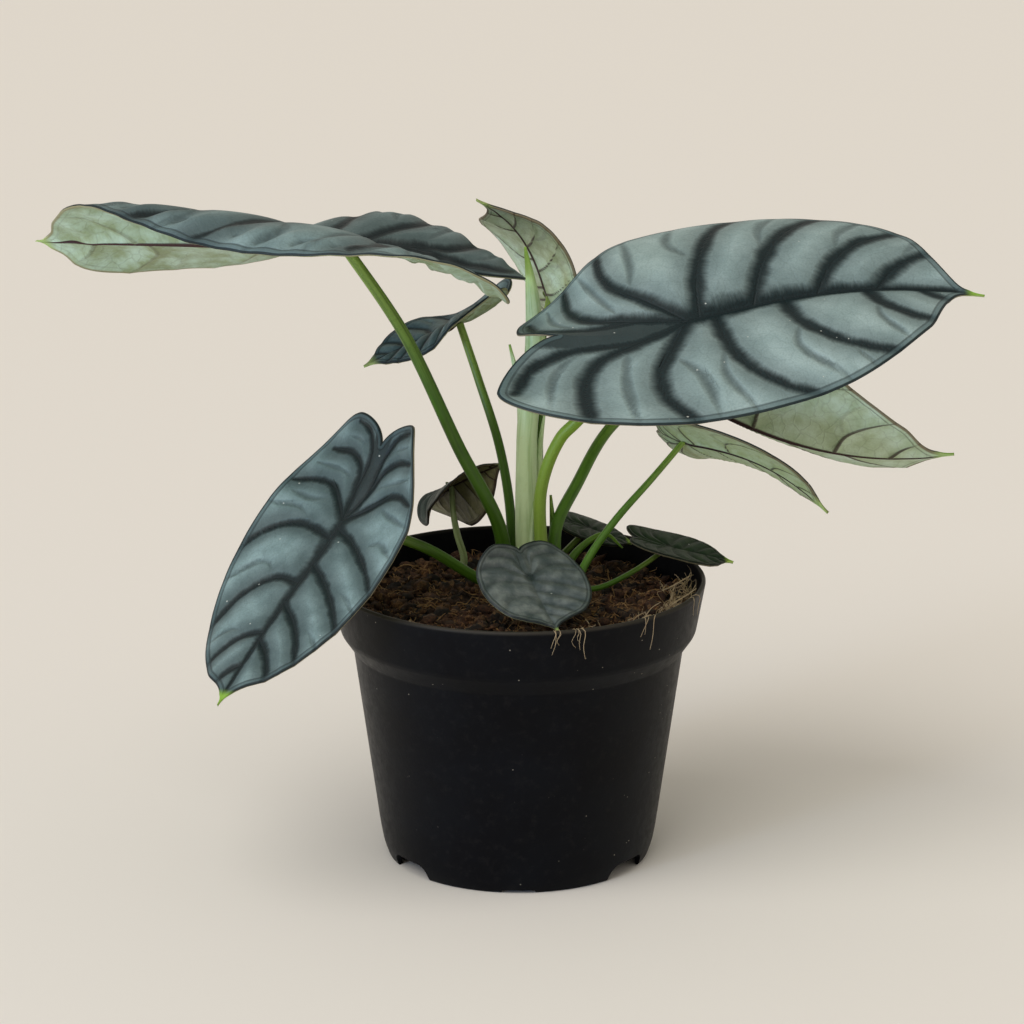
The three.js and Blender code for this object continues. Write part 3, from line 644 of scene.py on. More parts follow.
def ribs(leaf, x, y, vein):
    """How far the veins stand proud of the underside."""
    size = leaf.size
    taper = 1 - 0.8 * np.clip(x / leaf.front, 0, 1)
    rib = np.exp(-((y / (1.6 * size * taper + 0.2)) ** 2)) * taper * smooth(x / 3 + 1)
    lateral = 0.5 * np.exp(-((vein[:, 0] / (0.9 * size)) ** 2)) * (1 - 0.7 * vein[:, 2])
    return 0.9 * np.maximum(rib, lateral) * smooth(np.hypot(x, y) / (12 * size)) * size**0.5


def blade_mesh(name, leaf):
    """A closed blade. Its columns are the upper skin, the middle of one rim, the underside and the middle of
    the other rim. On its points, vein holds the nearest vein's distance, the place along it and its share,
    flat the flat place and how near the edge is, and branch how far the nearest side branch is, or on high
    puffs the nearest furrow between them, which gets painted shade."""
    per_vein, half = next((r, c) for width, r, c in BLADE_STEPS if leaf.half > width)
    rows, top = VEIN_COUNT * per_vein, 2 * half
    row, column = np.divmod(np.arange((rows + 1) * (top + 1)), top + 1)
    across = column / half - 1
    side = np.where(across >= 0, 1, -1)
    x, y = leaf.flat(row / per_vein, np.abs(across))
    flat = np.stack([x, y], -1)
    edge = nearest(flat, [np.stack(leaf.outline(np.linspace(0, 3, OUTLINE_SAMPLES)), -1)])[0]
    vein, branch = leaf.veins(flat, side)
    # Painted shade: the furrows between high puffs are darkened like branches
    high, wave, strength = leaf.puff_row(x, y, side, edge)
    painted_furrow_shade = np.arccos(-np.cos(wave)) * PUFF_LENGTH * leaf.size + 6 * (1 - strength)
    branch = np.where(high > PAINTED_FURROW_SHADE_FROM, np.minimum(branch, painted_furrow_shade), branch)
    height = quilt(leaf, x, y, side, vein, branch, edge)
    upper = leaf.surface(x, y, side, height + THICKNESS / 2)
    lower = leaf.surface(x, y, side, height - THICKNESS / 2 - ribs(leaf, x, y, vein))
    inwards = np.where(column == top, -1, np.where(column == 0, 1, 0))
    out = upper - upper[np.arange(len(upper)) + inwards]
    out /= np.maximum(np.linalg.norm(out, axis=1, keepdims=True), 1e-6)
    middle = (upper + lower) / 2 + out * RIM_ROUND

    turn = 2 * top + 4
    mesh, u, v = grid(name, rows, turn)
    column = np.rint(v * turn).astype(int) % turn
    below = (column > top + 1) & (column < turn - 1)
    on_rim = (column == top + 1) | (column == turn - 1)
    source = np.select([column <= top, column == top + 1, below], [column, top, turn - 2 - column], 0)
    index = np.rint(u * rows).astype(int) * (top + 1) + source
    points = np.where(below[:, None], lower[index], upper[index])
    place(mesh, np.where(on_rim[:, None], middle[index], points))
    keep(mesh, "vein", vein[index])
    keep(mesh, "flat", np.stack([x, y * side, edge], -1)[index])
    keep(mesh, "branch", branch[index])
    keep(mesh, "under", below | on_rim)
    weld(mesh, fill=False)
    under = np.zeros(len(mesh.vertices))
    mesh.attributes["under"].data.foreach_get("value", under)
    for face in mesh.polygons:
        face.material_index = int(under[list(face.vertices)].min())
    return mesh


def leaf_fields(r, size):
    """What both skins read: flat places in mm, how far the nearest veins are, veinlets and clouds."""
    to_vein, along, share = r.parts("vein")
    x, y, edge = r.parts("flat")
    metres = r.add("scaled", r.add("CombineXYZ", x, y), MM)
    warp = r.add("scaled", r.add("noise", metres, per(7), 2, out=1), 5 * MM)
    walls = r.add("cell_walls", r.add("VectorMath", metres, warp), per(2 + 4 * size))
    strip = 0.8 + 1.2 * size
    return SimpleNamespace(
        to_vein=to_vein, along=along, share=share, x=x, edge=edge, metres=metres, strip=strip,
        to_rib=r.add("ABSOLUTE", y),
        to_strip=r.add("ABSOLUTE", r.add("SUBTRACT", edge, strip)),
        to_branch_and_furrow=r.add("Attribute", out=2, attribute_name="branch"),
        veinlet=r.add("ramp", walls, 0, 0.07, 1, 0),
        fine=r.add("noise", metres, per(0.7), 3, 0.6),
        cloud=r.add("noise", metres, per(14 * size), 3),
        wander=r.add("SUBTRACT", r.add("noise", metres, per(8 * size), 3), 0.5),
    )


def upper_skin(name, panel, band, margin, tip, contrast, painted_shade_reach, dull, leaf, size):
    """Living upper leaf skin: silver panels full of air under the skin, with dark green bands on the veins
    and painted shade where the panels slope into them. The air gives them a soft metallic grey, and the wax
    on top a satin shine. Widths are in mm."""
    r = Recipe(name)
    f = leaf_fields(r, size)
    # The bands are brushed outwards: fine streaks stand square to each vein
    by_vein = r.add("CombineXYZ", r.add("MULTIPLY", f.along, MM), r.add("MULTIPLY", f.to_vein, 0.2 * MM))
    by_rib = r.add("VectorMath", f.metres, (1, 0.2, 1), operation="MULTIPLY")
    vein_brush = r.add("SUBTRACT", r.add("noise", by_vein, per(0.9), 3, 0.6), 0.5)
    rib_brush = r.add("SUBTRACT", r.add("noise", by_rib, per(0.9), 3, 0.6), 0.5)
    width = r.add("ramp", f.share, 0, 1, 3.6 * size, 2.4 * size)
    rib_width = r.add("ramp", f.x, -6, leaf.front, 6.2 * size, 1.5 * size)
    vein_share = r.add("MULTIPLY_ADD", vein_brush, 0.45, r.add("DIVIDE", f.to_vein, width))
    vein_share = r.add("ADD", vein_share, r.add("ramp", f.share, 0.88, 1, 0, 0.3))
    # Behind the stalk there is no midrib, only the seam of the lobes
    rib_place = r.add("ADD", f.to_rib, r.add("ramp", f.x, -0.25 * leaf.lobe, -2, 40, 0))
    rib_share = r.add("MULTIPLY_ADD", rib_brush, 0.5, r.add("DIVIDE", rib_place, rib_width))
    share = r.add("MULTIPLY_ADD", f.wander, 0.9, r.add("SMOOTH_MIN", vein_share, rib_share, 0.9))
    # The strip beside the notch is dark all over
    seam = r.add("MULTIPLY_ADD", vein_brush, 1.5, f.to_rib)
    seam = r.add("ramp", seam, 0.1 * leaf.half, 0.17 * leaf.half, 0.92, 0)
    seam = r.add("MULTIPLY", seam, r.add("ramp", f.x, -3 * size, 1, 1, 0))
    # Side branches are fainter on small leaves. On high puffs the furrows between them are darkened the same
    # way, as painted shade
    branch = r.add("MULTIPLY_ADD", vein_brush, 0.9, f.to_branch_and_furrow)
    branch = r.add("MULTIPLY_ADD", f.wander, 1.4, branch)
    branch = r.add("ramp", branch, 0, 2.8 * size, 0.62 * min(size / 0.8, 1) ** 0.7, 0)
    bands = r.add("ramp", share, 0.25, 1.85, 1, 0)
    # Painted shade: the panels darken towards the bands, as their slopes into the sunk veins would in shade,
    # over a width and depth set by the look
    shade = r.add("ramp", share, 0.75, 3 + 2.4 * painted_shade_reach, painted_shade_reach, 0)
    dark = r.add("MULTIPLY", r.fold("MAXIMUM", bands, seam, shade, branch), contrast)
    hub = r.add("VectorMath", f.metres, out=1, operation="LENGTH")
    dark = r.add("MAXIMUM", dark, r.add("ramp", hub, 2 * size * MM, 9 * size * MM, 0.85, 0))
    # Fine lines: one beside the edge strip, the rim itself, and the core of each vein
    lines = r.fold(
        "MAXIMUM",
        r.add("ramp", f.to_strip, 0.1, 0.45, 0.5, 0),
        r.add("ramp", f.edge, 0.2, 0.55, 0.9, 0),
        r.add("ramp", r.add("MINIMUM", f.to_vein, rib_place), 0.1, 0.5, 0.5 * contrast, 0),
    )
    # A grain of dust lies in about one cell of ten
    cell = r.add("cells", f.metres, per(4))
    drawn = r.add("ramp", r.add("SeparateColor", cell.node.outputs[1]), 0.9, 0.92)
    dust = r.add("MULTIPLY", r.add("ramp", cell, 0.05, 0.085, 0.75, 0), drawn)
    colour = r.paint(
        panel[0],
        (r.add("ramp", f.cloud, 0.35, 0.7), panel[1]),
        (r.add("MULTIPLY", f.veinlet, 0.08), band[1]),
        (r.add("ramp", f.fine, 0.38, 0.7, 0, 0.16), band[1]),
        (dark, r.add("mix", r.add("ramp", f.fine, 0.35, 0.7), *band)),
        (r.add("ramp", f.edge, f.strip - 0.5, f.strip + 0.5, 0.6, 0), margin),
        (lines, band[0]),
        (r.add("ramp", f.x, leaf.front - 0.4 * leaf.spur, leaf.front + 0.3 * leaf.spur), tip),
        (dust, "#c6ccc5"),
    )
    height = r.add("MULTIPLY_ADD", dark, -0.8, r.add("MULTIPLY", f.fine, 0.1))
    height = r.add("MULTIPLY_ADD", f.veinlet, -0.03, height)
    height = r.add("MULTIPLY_ADD", lines, -0.35, height)
    normal = r.add("bump", height, 0.9 * size**0.5 * MM, 1)
    roughness = r.add("MULTIPLY_ADD", f.fine, 0.18, dull)
    return r.finish(colour, roughness, normal, Specular_IOR_Level=0.38, IOR=1.42)


def under_skin(name, base, patch, vein, margin, strength, leaf, size):
    """Living under leaf skin: matt green, painted paler than it is for the light that shines through the
    blade, with thin maroon veins that stand proud. Widths are in mm.
    """
    r = Recipe(name)
    f = leaf_fields(r, size)
    rib_place = r.add("ADD", f.to_rib, r.add("ramp", f.x, -6 * size, -1, 9, 0))
    rib_width = r.add("ramp", f.x, -2, leaf.front, 1.3 * size + 0.25, 0.4)
    vein_width = r.add("ramp", f.share, 0, 1, 0.7 * size + 0.2, 0.28)
    lateral = r.add("ramp", r.add("DIVIDE", f.to_vein, vein_width), 0.5, 1.3, strength, 0)
    lines = r.fold(
        "MAXIMUM",
        r.add("ramp", r.add("DIVIDE", rib_place, rib_width), 0.7, 1.25, 1, 0),
        r.add("MULTIPLY", lateral, r.add("ramp", f.share, 0.5, 1, 1, 0.4)),
        # On the underside too, the lines along the branches follow the furrows of high puffs, as painted
        # shade
        r.add("ramp", f.to_branch_and_furrow, 0.3, 1.1, 0.22 * strength, 0),
        r.add("ramp", f.to_strip, 0.08, 0.4, 0.5 * strength, 0),
    )
    # Pale patches lie between the veins and fade near them: partly mottle of the skin, partly painted light
    # shining through the panels
    mottle = r.add("noise", f.metres, per(7 * size + 2), 4, 0.6)
    near_vein = r.add("ramp", f.to_vein, 0.6, 4.5 * size, 1, 0)
    spread = r.add("MULTIPLY_ADD", near_vein, -0.35, r.add("ramp", mottle, 0.3, 0.72))
    colour = r.paint(
        base,
        (r.add("MAXIMUM", spread, 0), patch),
        (r.add("MULTIPLY", f.veinlet, 0.12), vein),
        (r.add("ramp", f.fine, 0.45, 0.75, 0, 0.1), vein),
        (r.add("ramp", f.edge, 0.3, 0.9, 0.85, 0), margin),
        (lines, vein),
        (r.add("ramp", f.x, leaf.front - 0.6 * leaf.spur, leaf.front + 0.3 * leaf.spur), "#a3bd72"),
    )
    height = r.add("MULTIPLY_ADD", f.veinlet, 0.25, r.add("MULTIPLY_ADD", f.fine, 0.3, lines))
    normal = r.add("bump", height, 0.25 * MM, 1)
    return r.finish(colour, r.add("MULTIPLY_ADD", f.fine, 0.16, 0.45), normal, IOR=1.4)


# Upper skins: panels, bands, margin strip, tip, contrast, painted shade round the bands and dullness
TOP_LOOKS = {
    "silver": (("#8ba2a2", "#9db4b4"), ("#05181b", "#0f2629"), "#4a6063", "#86b040", 1.0, 0.42, 0.46),
    # A darker copy of silver: painted shade over the whole blade, and wider painted shade round the bands
    "silver_painted_shade": (("#6d8485", "#839b9c"), ("#061619", "#112326"), "#3f5357", "#86b040", 1.0, 0.6, 0.42),
    "slate": (("#5c7072", "#70888a"), ("#0a171a", "#16262a"), "#3c4f54", "#8fa060", 0.8, 0.5, 0.42),
    "grey": (("#4c5657", "#757d7b"), ("#0e191b", "#1c2a2d"), "#4a5452", "#86a05a", 0.34, 0.25, 0.27),
    "dark": (("#2a3a34", "#3f4f46"), ("#0f1714", "#1a2420"), "#2c3a34", "#a8a878", 0.6, 0.5, 0.4),
    "young": (("#243a2a", "#34492f"), ("#0c170f", "#16251a"), "#24381f", "#9dc04c", 0.45, 0.5, 0.4),
}
# Under skins: base, patches, veins, margin and strength of the veins. Base and patches are painted paler
# than the skin is, as painted light shining through the blade
UNDER_LOOKS = {
    "mint": ("#93a37a", "#bed6bf", "#3a1c1c", "#8c8460", 0.3),
    "sage": ("#b0c39e", "#cbdfc7", "#331618", "#6e5c44", 0.85),
    "olive": ("#a4b582", "#b8caa2", "#2c1616", "#5c4c38", 0.8),
    "brown": ("#74724e", "#8c8c66", "#2c1614", "#3c2c20", 0.8),
}
# The left and front left blades wear the darker copy of silver, which is painted shade
LEAF_LOOKS = {
    "left": ("silver_painted_shade", "mint"), "right": ("silver", "sage"), "right_behind": ("silver", "sage"),
    "right_low": ("slate", "olive"), "top": ("slate", "sage"), "middle_left": ("slate", "mint"),
    "front_left": ("silver_painted_shade", "sage"), "front_small": ("grey", "mint"), "back_left": ("dark", "brown"),
    "right_rim": ("young", "olive"), "back_small": ("young", "olive"),
}


# Patterns shrink with the leaf down to this share, below which they would be too fine to show
SMALLEST_PATTERN = 0.28


def make_blades():
    for name, leaf in LEAVES.items():
        top, under = LEAF_LOOKS[name]
        size = max(leaf.size, SMALLEST_PATTERN)
        skins = [
            upper_skin("leaf_skin_top_" + name, *TOP_LOOKS[top], leaf, size),
            under_skin("leaf_skin_under_" + name, *UNDER_LOOKS[under], leaf, size),
        ]
        piece("blade_" + name, blade_mesh("blade_" + name, leaf), skins, "leaf_" + name)


# Stalks and the other round shoots: tapered tubes along smooth curves

# Levels of a stalk's foot, how far its line runs on past the blade's middle, and how far under the blade's
# underside it is cut
FOOT_LEVELS = (70, 84, 88)
STALK_BEYOND = 3
STALK_CUT = 0.1
FOOT_FLARE = 0.35
CHANNEL_DEPTH = 0.12
# Foot, the middle line's route up to the blade, and the radii at foot and top
STALKS = {
    "left": ((-4.3, 2.3), [(-6, -1, 108), (-19, -5, 136), (-36, -9, 174)], (2.5, 1.8)),
    "right": ((8.5, -1.5), [(7, -3, 121), (13, -6, 139), (18, -8, 145), (38, -14, 167)], (2.3, 1.8)),
    "right_behind": ((12.2, 6.8), [(12, 10, 105), (19, 18, 118), (29, 28, 133)], (2.4, 1.7)),
    "right_low": ((18, -1.5), [(22, 4, 96), (31, 9, 108), (43, 13, 121)], (1.6, 1)),
    "top": ((6, 10.5), [(6.5, 15, 115), (6.5, 21, 138), (7, 29, 157)], (1.9, 1.2)),
    "middle_left": ((-2.5, 9), [(-2.5, 12, 108), (-6, 16, 130), (-13, 21, 152)], (1.9, 1.3)),
    "front_left": ((-3.5, -4.5), [(-13, -11, 94.5), (-30, -18, 107)], (2, 1.6)),
    "front_small": ((3.5, -6), [(4, -14, 92)], (1.4, 1.1)),
    "back_left": ((-18, 36), [(-20, 36.5, 95), (-21.5, 39.5, 102.5)], (1.5, 0.9)),
    "right_rim": ((16.5, -7), [(27, -3, 89.5), (38, 6, 92.5)], (1.1, 0.8)),
    "back_small": ((8.5, 16.5), [(15, 30, 91)], (1.4, 1)),
}
# One stalk shows the free tip of its sheath
SHEATH_ON = "right_behind"
STALK_SHEATH = [(12.3, 8.5, 92), (11.2, 11, 105), (10.4, 12.5, 115.5)]
# Colours of foot, middle, top and streaks. Except for pale, these are one green stalk skin in lit and
# shaded copies: painted light on the lightest, painted shade on the two darker ones, most on deep
STALK_SKINS = {
    "deep": ("#3a5a12", "#406414", "#86a048", "#1e3a06"),
    "painted_shade_green": ("#42641a", "#55801f", "#7f9a3c", "#28480a"),
    "painted_light_green": ("#8ea052", "#7e9c34", "#8ea642", "#5f8022"),
    "pale": ("#8a9468", "#a9bd88", "#b4c696", "#66783f"),
}
# Stalks without a look of their own get deep, the copy with the most painted shade
STALK_LOOKS = {"right": "painted_light_green", "right_low": "painted_shade_green", "right_behind": "painted_shade_green", "back_left": "pale"}
# Middle lines of the new leaf, the scale leaf and the stem
SPEAR = [(3.5, 4, 70), (3.5, 4, 84), (2.6, 5, 137), (5.2, 12, 165), (3.9, 12, 185), (2.1, 12, 197)]
SCALE_LEAF = [(15, 14, 76), (15, 14, 86), (18, 17, 94), (28, 21, 100), (34, 22, 95)]
STEM = [(3.5, 4, 56), (3.5, 4, 62), (3.5, 4, 69.5)]
# Sheath tips round the new leaf: route and radius at the base
SPEAR_SHEATHS = [
    ([(2.2, 5.1, 135), (0.6, 6.6, 151), (-2.8, 7, 166.5)], 2.4),
    ([(4.2, 1.6, 96), (4.4, 0.4, 106), (5, -0.6, 117)], 1.7),
    ([(6.2, 5.6, 120), (6.8, 6.4, 132), (8.6, 7.2, 146)], 1.6),
]


def tube(name, knots, radius, rows=90, sides=24, shape=None, trim=None):
    """A closed tube along a curve. radius is a function of the share u of its length, shape a function of u
    and the angle round it that scales the radius, and trim a function that moves its points."""
    mesh, u, v = grid(name, rows, sides)
    line = curve_points(knots, rows + 1)
    ahead = unit(np.gradient(line, axis=0))
    side = unit(np.cross(np.tile([0.0, 1.0, 0.0], (len(line), 1)), ahead))
    row = np.rint(u * rows).astype(int)
    angle = v * 2 * math.pi
    reach = radius(u) * (1 if shape is None else shape(u, angle))
    across = side[row] * np.cos(angle)[:, None] + np.cross(ahead, side)[row] * np.sin(angle)[:, None]
    points = line[row] + across * reach[:, None]
    place(mesh, points if trim is None else trim(points))
    keep(mesh, "shoot", np.stack([u, v, np.zeros_like(u)], -1))
    return mesh


def shoot_skin(name, foot, middle, top, streak, top_from=0.55):
    """Living stalk skin: juicy green with a satin shine, streaked lengthwise and finely speckled."""
    r = Recipe(name)
    u, v, _ = r.parts("shoot")
    # The shares along and round the shoot are scaled so that the noise makes long streaks
    grain = r.add("CombineXYZ", r.add("MULTIPLY", u, 0.004), r.add("MULTIPLY", v, 0.012))
    streaks = r.add("noise", grain, per(1.1), 4, 0.6)
    place = r.add("TexCoord", out=3)
    speck = r.add("noise", place, per(0.6), 2, 0.5)
    colour = r.paint(
        foot,
        (r.add("ramp", u, 0, 0.4), middle),
        (r.add("ramp", u, top_from, 1), top),
        (r.add("ramp", streaks, 0.42, 0.68, 0, 0.55), streak),
        (r.add("ramp", r.add("noise", place, per(9), 3), 0.5, 0.75, 0, 0.3), streak),
        (r.add("ramp", speck, 0.55, 0.7, 0, 0.35), foot),
    )
    normal = r.add("bump", r.add("MULTIPLY_ADD", speck, 0.3, streaks), 0.12 * MM, 1)
    return r.finish(colour, r.add("MULTIPLY_ADD", speck, 0.15, 0.32), normal, IOR=1.4)


def channel(u, angle):
    """A shallow channel runs up the side of a stalk that faces the stem."""
    return 1 - CHANNEL_DEPTH * smooth((u - 0.1) / 0.3) * np.exp(-(((angle - math.pi) / 0.5) ** 2))


def make_stalks():
    skins = {look: shoot_skin(look + "_stalk_skin", *colours) for look, colours in STALK_SKINS.items()}
    for name, (foot, route, radii) in STALKS.items():
        at = LEAVES[name].at
        normal = LEAVES[name].directions(np.zeros(1))[2][0]
        beyond = at + unit(at - np.array(route[-1])) * STALK_BEYOND
        knots = [(*foot, z) for z in FOOT_LEVELS] + [*route, at, beyond]

        def radius(u, base=radii[0], top=radii[1]):
            return (base + (top - base) * u) * (1 + FOOT_FLARE * smooth(1 - u / 0.3))

        # The top is cut along the blade's underside
        def trim(points, at=at, normal=normal):
            above = (points - at) @ normal + THICKNESS / 2 + STALK_CUT
            return points - normal * np.maximum(above, 0)[:, None]

        mesh = tube("stalk_" + name, knots, radius, shape=channel, trim=trim)
        if name == SHEATH_ON:
            sheath = tube("stalk_sheath", STALK_SHEATH, lambda u: 2 - 1.6 * u, 40, 20)
            mesh = join("stalk_" + name, [mesh, sheath])
        skin = skins[STALK_LOOKS.get(name, "deep")]
        piece("stalk_of_" + name, weld(mesh), [skin], "stalk_" + name)


def rolled(u, angle):
    """The spear is a rolled blade, so its free edge stands up as one line along its length."""
    return 1 + 0.13 * smooth((u - 0.05) / 0.2) * (angle / (2 * math.pi) - 0.5) * np.minimum(1, (1 - u) / 0.1)


def spear_radius(u):
    """Thick where the old sheath wraps it, then slender, then drawn to a point."""
    return 3.2 + 0.75 * smooth((0.5 - u) / 0.25) - 2.85 * np.clip((u - 0.72) / 0.28, 0, 1) ** 1.6


def make_shoots():
    """The new leaf with its sheaths, the scale leaf and the stem."""
    spear = tube("new_leaf", SPEAR, spear_radius, 150, 40, rolled)
    sheaths = [
        tube("new_leaf_sheath", route, lambda u, base=base: base * (1 - 0.85 * u), 50, 24)
        for route, base in SPEAR_SHEATHS
    ]
    skin = shoot_skin("new_leaf_skin", "#bccb90", "#c6dcae", "#86b040", "#7fa457", 0.84)
    piece("rolled_new_leaf", weld(join("new_leaf", [spear, *sheaths])), [skin], "new_leaf")
    scale = tube("scale_leaf", SCALE_LEAF, lambda u: 1.7 - 1.45 * u**1.8, 60, 24)
    skin = shoot_skin("scale_leaf_skin", "#5a6d2c", "#5f8a26", "#86b040", "#39601a")
    piece("young_scale_leaf", weld(scale), [skin], "scale_leaf")
    stem = tube("stem", STEM, lambda u: 4.6 - 0.25 * np.cos(u * 44), 60, 40)
    skin = shoot_skin("stem_skin", "#5a4a2c", "#6f6a38", "#7f8a46", "#3f3520")
    piece("stem_stub", weld(stem), [skin], "stem")


# Pot

POT_STEPS = 144
# Radius, height and how far each corner's rounding reaches
POT_PROFILE = [
    (0, 0, 0), (9, 0, 0.4), (10.5, 4, 0.4), (41.2, 4, 0.4), (41.2, 0, 0.3), (42.2, 0, 0.7), (43.7, 4, 2),
    (44.7, 9.2, 2.5), (53, 69.5, 0.5), (56.7, 74.8, 0.4), (57.2, 76, 0.5), (60, 91.4, 0.35), (59.5, 92, 0.25),
    (58.7, 92, 0.3), (55.9, 76, 1), (51.7, 69.5, 1), (43.3, 5.6, 1.2), (0, 5.6, 0),
]
CORNER_STEPS = 5
SHARP_ANGLE = math.radians(38)
FOOT_RING = 43.6
# Cuts in the foot ring: depth across it, width at the floor and at the top, and height
FOOT_OPENING = (30, 19, 16, 5)
FOOT_NICK = (8, 11.5, 10.5, 1)
OPENING_ROUND = 3
OPENING_TURN = math.radians(36)
DRAIN_COUNT = 8
DRAIN_RADIUS = 3.5
DRAIN_CIRCLE = 31
DRAIN_DEPTH = 12


def rounded(profile):
    """Radius and height points of the profile, with its corners turned into arcs."""
    points = []
    for i, (r, z, reach) in enumerate(profile):
        corner = np.array([r, z])
        if reach == 0:
            points.append(corner)
            continue
        before, after = np.array(profile[i - 1][:2]), np.array(profile[i + 1][:2])
        a = corner + unit(before - corner) * reach
        b = corner + unit(after - corner) * reach
        for u in np.linspace(0, 1, CORNER_STEPS):
            points.append((1 - u) ** 2 * a + 2 * u * (1 - u) * corner + u * u * b)
    return points


def ring_block(bm, depth, low_width, high_width, height):
    """A block across the foot ring on the right, narrower at its top."""
    made = bmesh.ops.create_cube(bm, size=1)["verts"]
    for v in made:
        width, z = (high_width, height) if v.co.z > 0 else (low_width, -height)
        v.co = Vector((v.co.x * depth + FOOT_RING, v.co.y * width, z)) * MM
    return made


def turned(bm, verts, angle):
    """Turns a few points round the pot's axis."""
    bmesh.ops.rotate(bm, verts=verts, cent=(0, 0, 0), matrix=Matrix.Rotation(angle, 3, "Z"))


def pot_cutter():
    """Four foot openings with sloped ends, four shallow nicks and eight drain holes, as one object."""
    bm = bmesh.new()
    for i in range(4):
        first = len(bm.verts)
        made = ring_block(bm, *FOOT_OPENING)
        ends = [e for e in bm.edges if all(v in made and v.co.z > 0 for v in e.verts)]
        ends = [e for e in ends if abs(e.verts[0].co.y - e.verts[1].co.y) < MM]
        how = {"offset": OPENING_ROUND * MM, "segments": 5, "profile": 0.5, "affect": "EDGES", "material": -1}
        bmesh.ops.bevel(bm, geom=ends, **how)
        bm.verts.ensure_lookup_table()
        turned(bm, bm.verts[first:], (1 if i < 2 else -1) * OPENING_TURN + (i % 2) * math.pi)
        turned(bm, ring_block(bm, *FOOT_NICK), i * math.pi / 2)
    drill = {"radius1": DRAIN_RADIUS * MM, "radius2": DRAIN_RADIUS * MM, "depth": DRAIN_DEPTH * MM}
    for i in range(DRAIN_COUNT):
        a = (i + 0.5) * 2 * math.pi / DRAIN_COUNT
        made = bmesh.ops.create_cone(bm, segments=32, cap_ends=True, **drill)["verts"]
        at = Vector((DRAIN_CIRCLE * math.cos(a), DRAIN_CIRCLE * math.sin(a), 5)) * MM
        bmesh.ops.translate(bm, verts=made, vec=at)
    bmesh.ops.recalc_face_normals(bm, faces=bm.faces)
    return linked("pot_cutter", finished(bm, "pot_cutter"))


def make_pot():
    bm = bmesh.new()
    verts = [bm.verts.new((r * MM, 0, z * MM)) for r, z in rounded(POT_PROFILE)]
    edges = [bm.edges.new(pair) for pair in zip(verts, verts[1:])]
    turn = {"axis": (0, 0, 1), "cent": (0, 0, 0), "angle": 2 * math.pi, "steps": POT_STEPS, "use_merge": True}
    bmesh.ops.spin(bm, geom=verts + edges, **turn)
    bmesh.ops.remove_doubles(bm, verts=bm.verts, dist=MERGE_DISTANCE)
    bmesh.ops.recalc_face_normals(bm, faces=bm.faces)
    whole = linked("whole_pot", finished(bm, "whole_pot"))
    cut = whole.modifiers.new("cut", "BOOLEAN")
    cut.operation = "DIFFERENCE"
    cut.solver = "EXACT"
    cut.use_self = True
    cut.object = pot_cutter()
    pot = bpy.data.meshes.new_from_object(whole.evaluated_get(bpy.context.evaluated_depsgraph_get()))
    bpy.data.objects.remove(cut.object)
    bpy.data.objects.remove(whole)
    pot.name = "nursery_pot"
    pot.materials.clear()
    for face in pot.polygons:
        face.use_smooth = True
    pot.set_sharp_from_angle(angle=SHARP_ANGLE)
    piece("nursery_pot", pot, [pot_plastic()], "pot")


def pot_plastic():
    """Injection-moulded black plastic: satin and faintly pitted, with dust and dried splashes."""
    r = Recipe("black_moulded_plastic")
    place = r.add("TexCoord", out=3)
    across, _, height = r.add("SeparateXYZ", place).node.outputs
    cloud = r.add("noise", place, per(26), 4, 0.6)
    dust = r.add("noise", place, per(3), 5, 0.65)
    # Splashes are thickest under the rim, on the side where the plant was watered
    splashed = r.add("MULTIPLY_ADD", r.add("ramp", height, 0.05, 0.09), 0.1, cloud)
    splashed = r.add("MULTIPLY_ADD", r.add("ramp", across, -0.01, 0.035), 0.1, splashed)
    drops = r.add("ramp", r.add("cells", place, per(3.6)), 0.03, 0.08, 0.75, 0)
    colour = r.paint(
        # Faintly blue black: partly the plastic's own tone, partly painted reflection of the cool side light,
        # spread over the whole pot
        "#020307",
        (r.add("ramp", cloud, 0.3, 0.75), "#05080e"),
        (r.add("ramp", dust, 0.5, 0.75, 0, 0.06), "#4a4640"),
        # The top face of the rim is paler, as a thin light line round it
        (r.add("ramp", height, 0.0906, 0.0918, 0, 0.12), "#8a8272"),
        (r.add("MULTIPLY", drops, r.add("ramp", splashed, 0.54, 0.64)), "#a09a8c"),
    )
    roughness = r.add("MULTIPLY_ADD", r.add("ramp", dust, 0.35, 0.7), 0.1, 0.38)
    # Mould grain is finer than this; it is drawn coarser so that it shows
    normal = r.add("bump", r.add("noise", place, per(0.9), 2, 0.5), 0.03 * MM, 1)
    return r.finish(colour, roughness, normal, Specular_IOR_Level=0.1, IOR=1.49)


# Soil: a rough bed, with loose crumbs, fibres and dead roots on it

SOIL_TOP = 83
SOIL_EDGE = 57.0
SOIL_LOW = 5.9
# The mound round the stem: its middle, its height and its spread
MOUND = (3.5, 4, 2.5, 500)
BED_ROWS = 160
BED_SIDES = 280
# The bed falls off by this much from here on, and its crumbs level out towards its edge
EDGE_FALL = 1.6
EDGE_FALL_FROM = 0.93
EDGE_ROUGHNESS = 0.2
# The bed's rows run out to the edge, down the pot's wall and in again below: share of rows, radius, level
EDGE_SHARE = 0.8
WALL_SHARES = [EDGE_SHARE, 0.84, 0.88, 0.94, 1]
WALL_RADII = [SOIL_EDGE, 55.6, 51.4, 43, 0]
WALL_LEVELS = [76, 76, 69.5, SOIL_LOW, SOIL_LOW]
# Size and depth of the bed's lumps
LUMPS = ((8, 1.5), (3.4, 1.4), (1.5, 0.6))
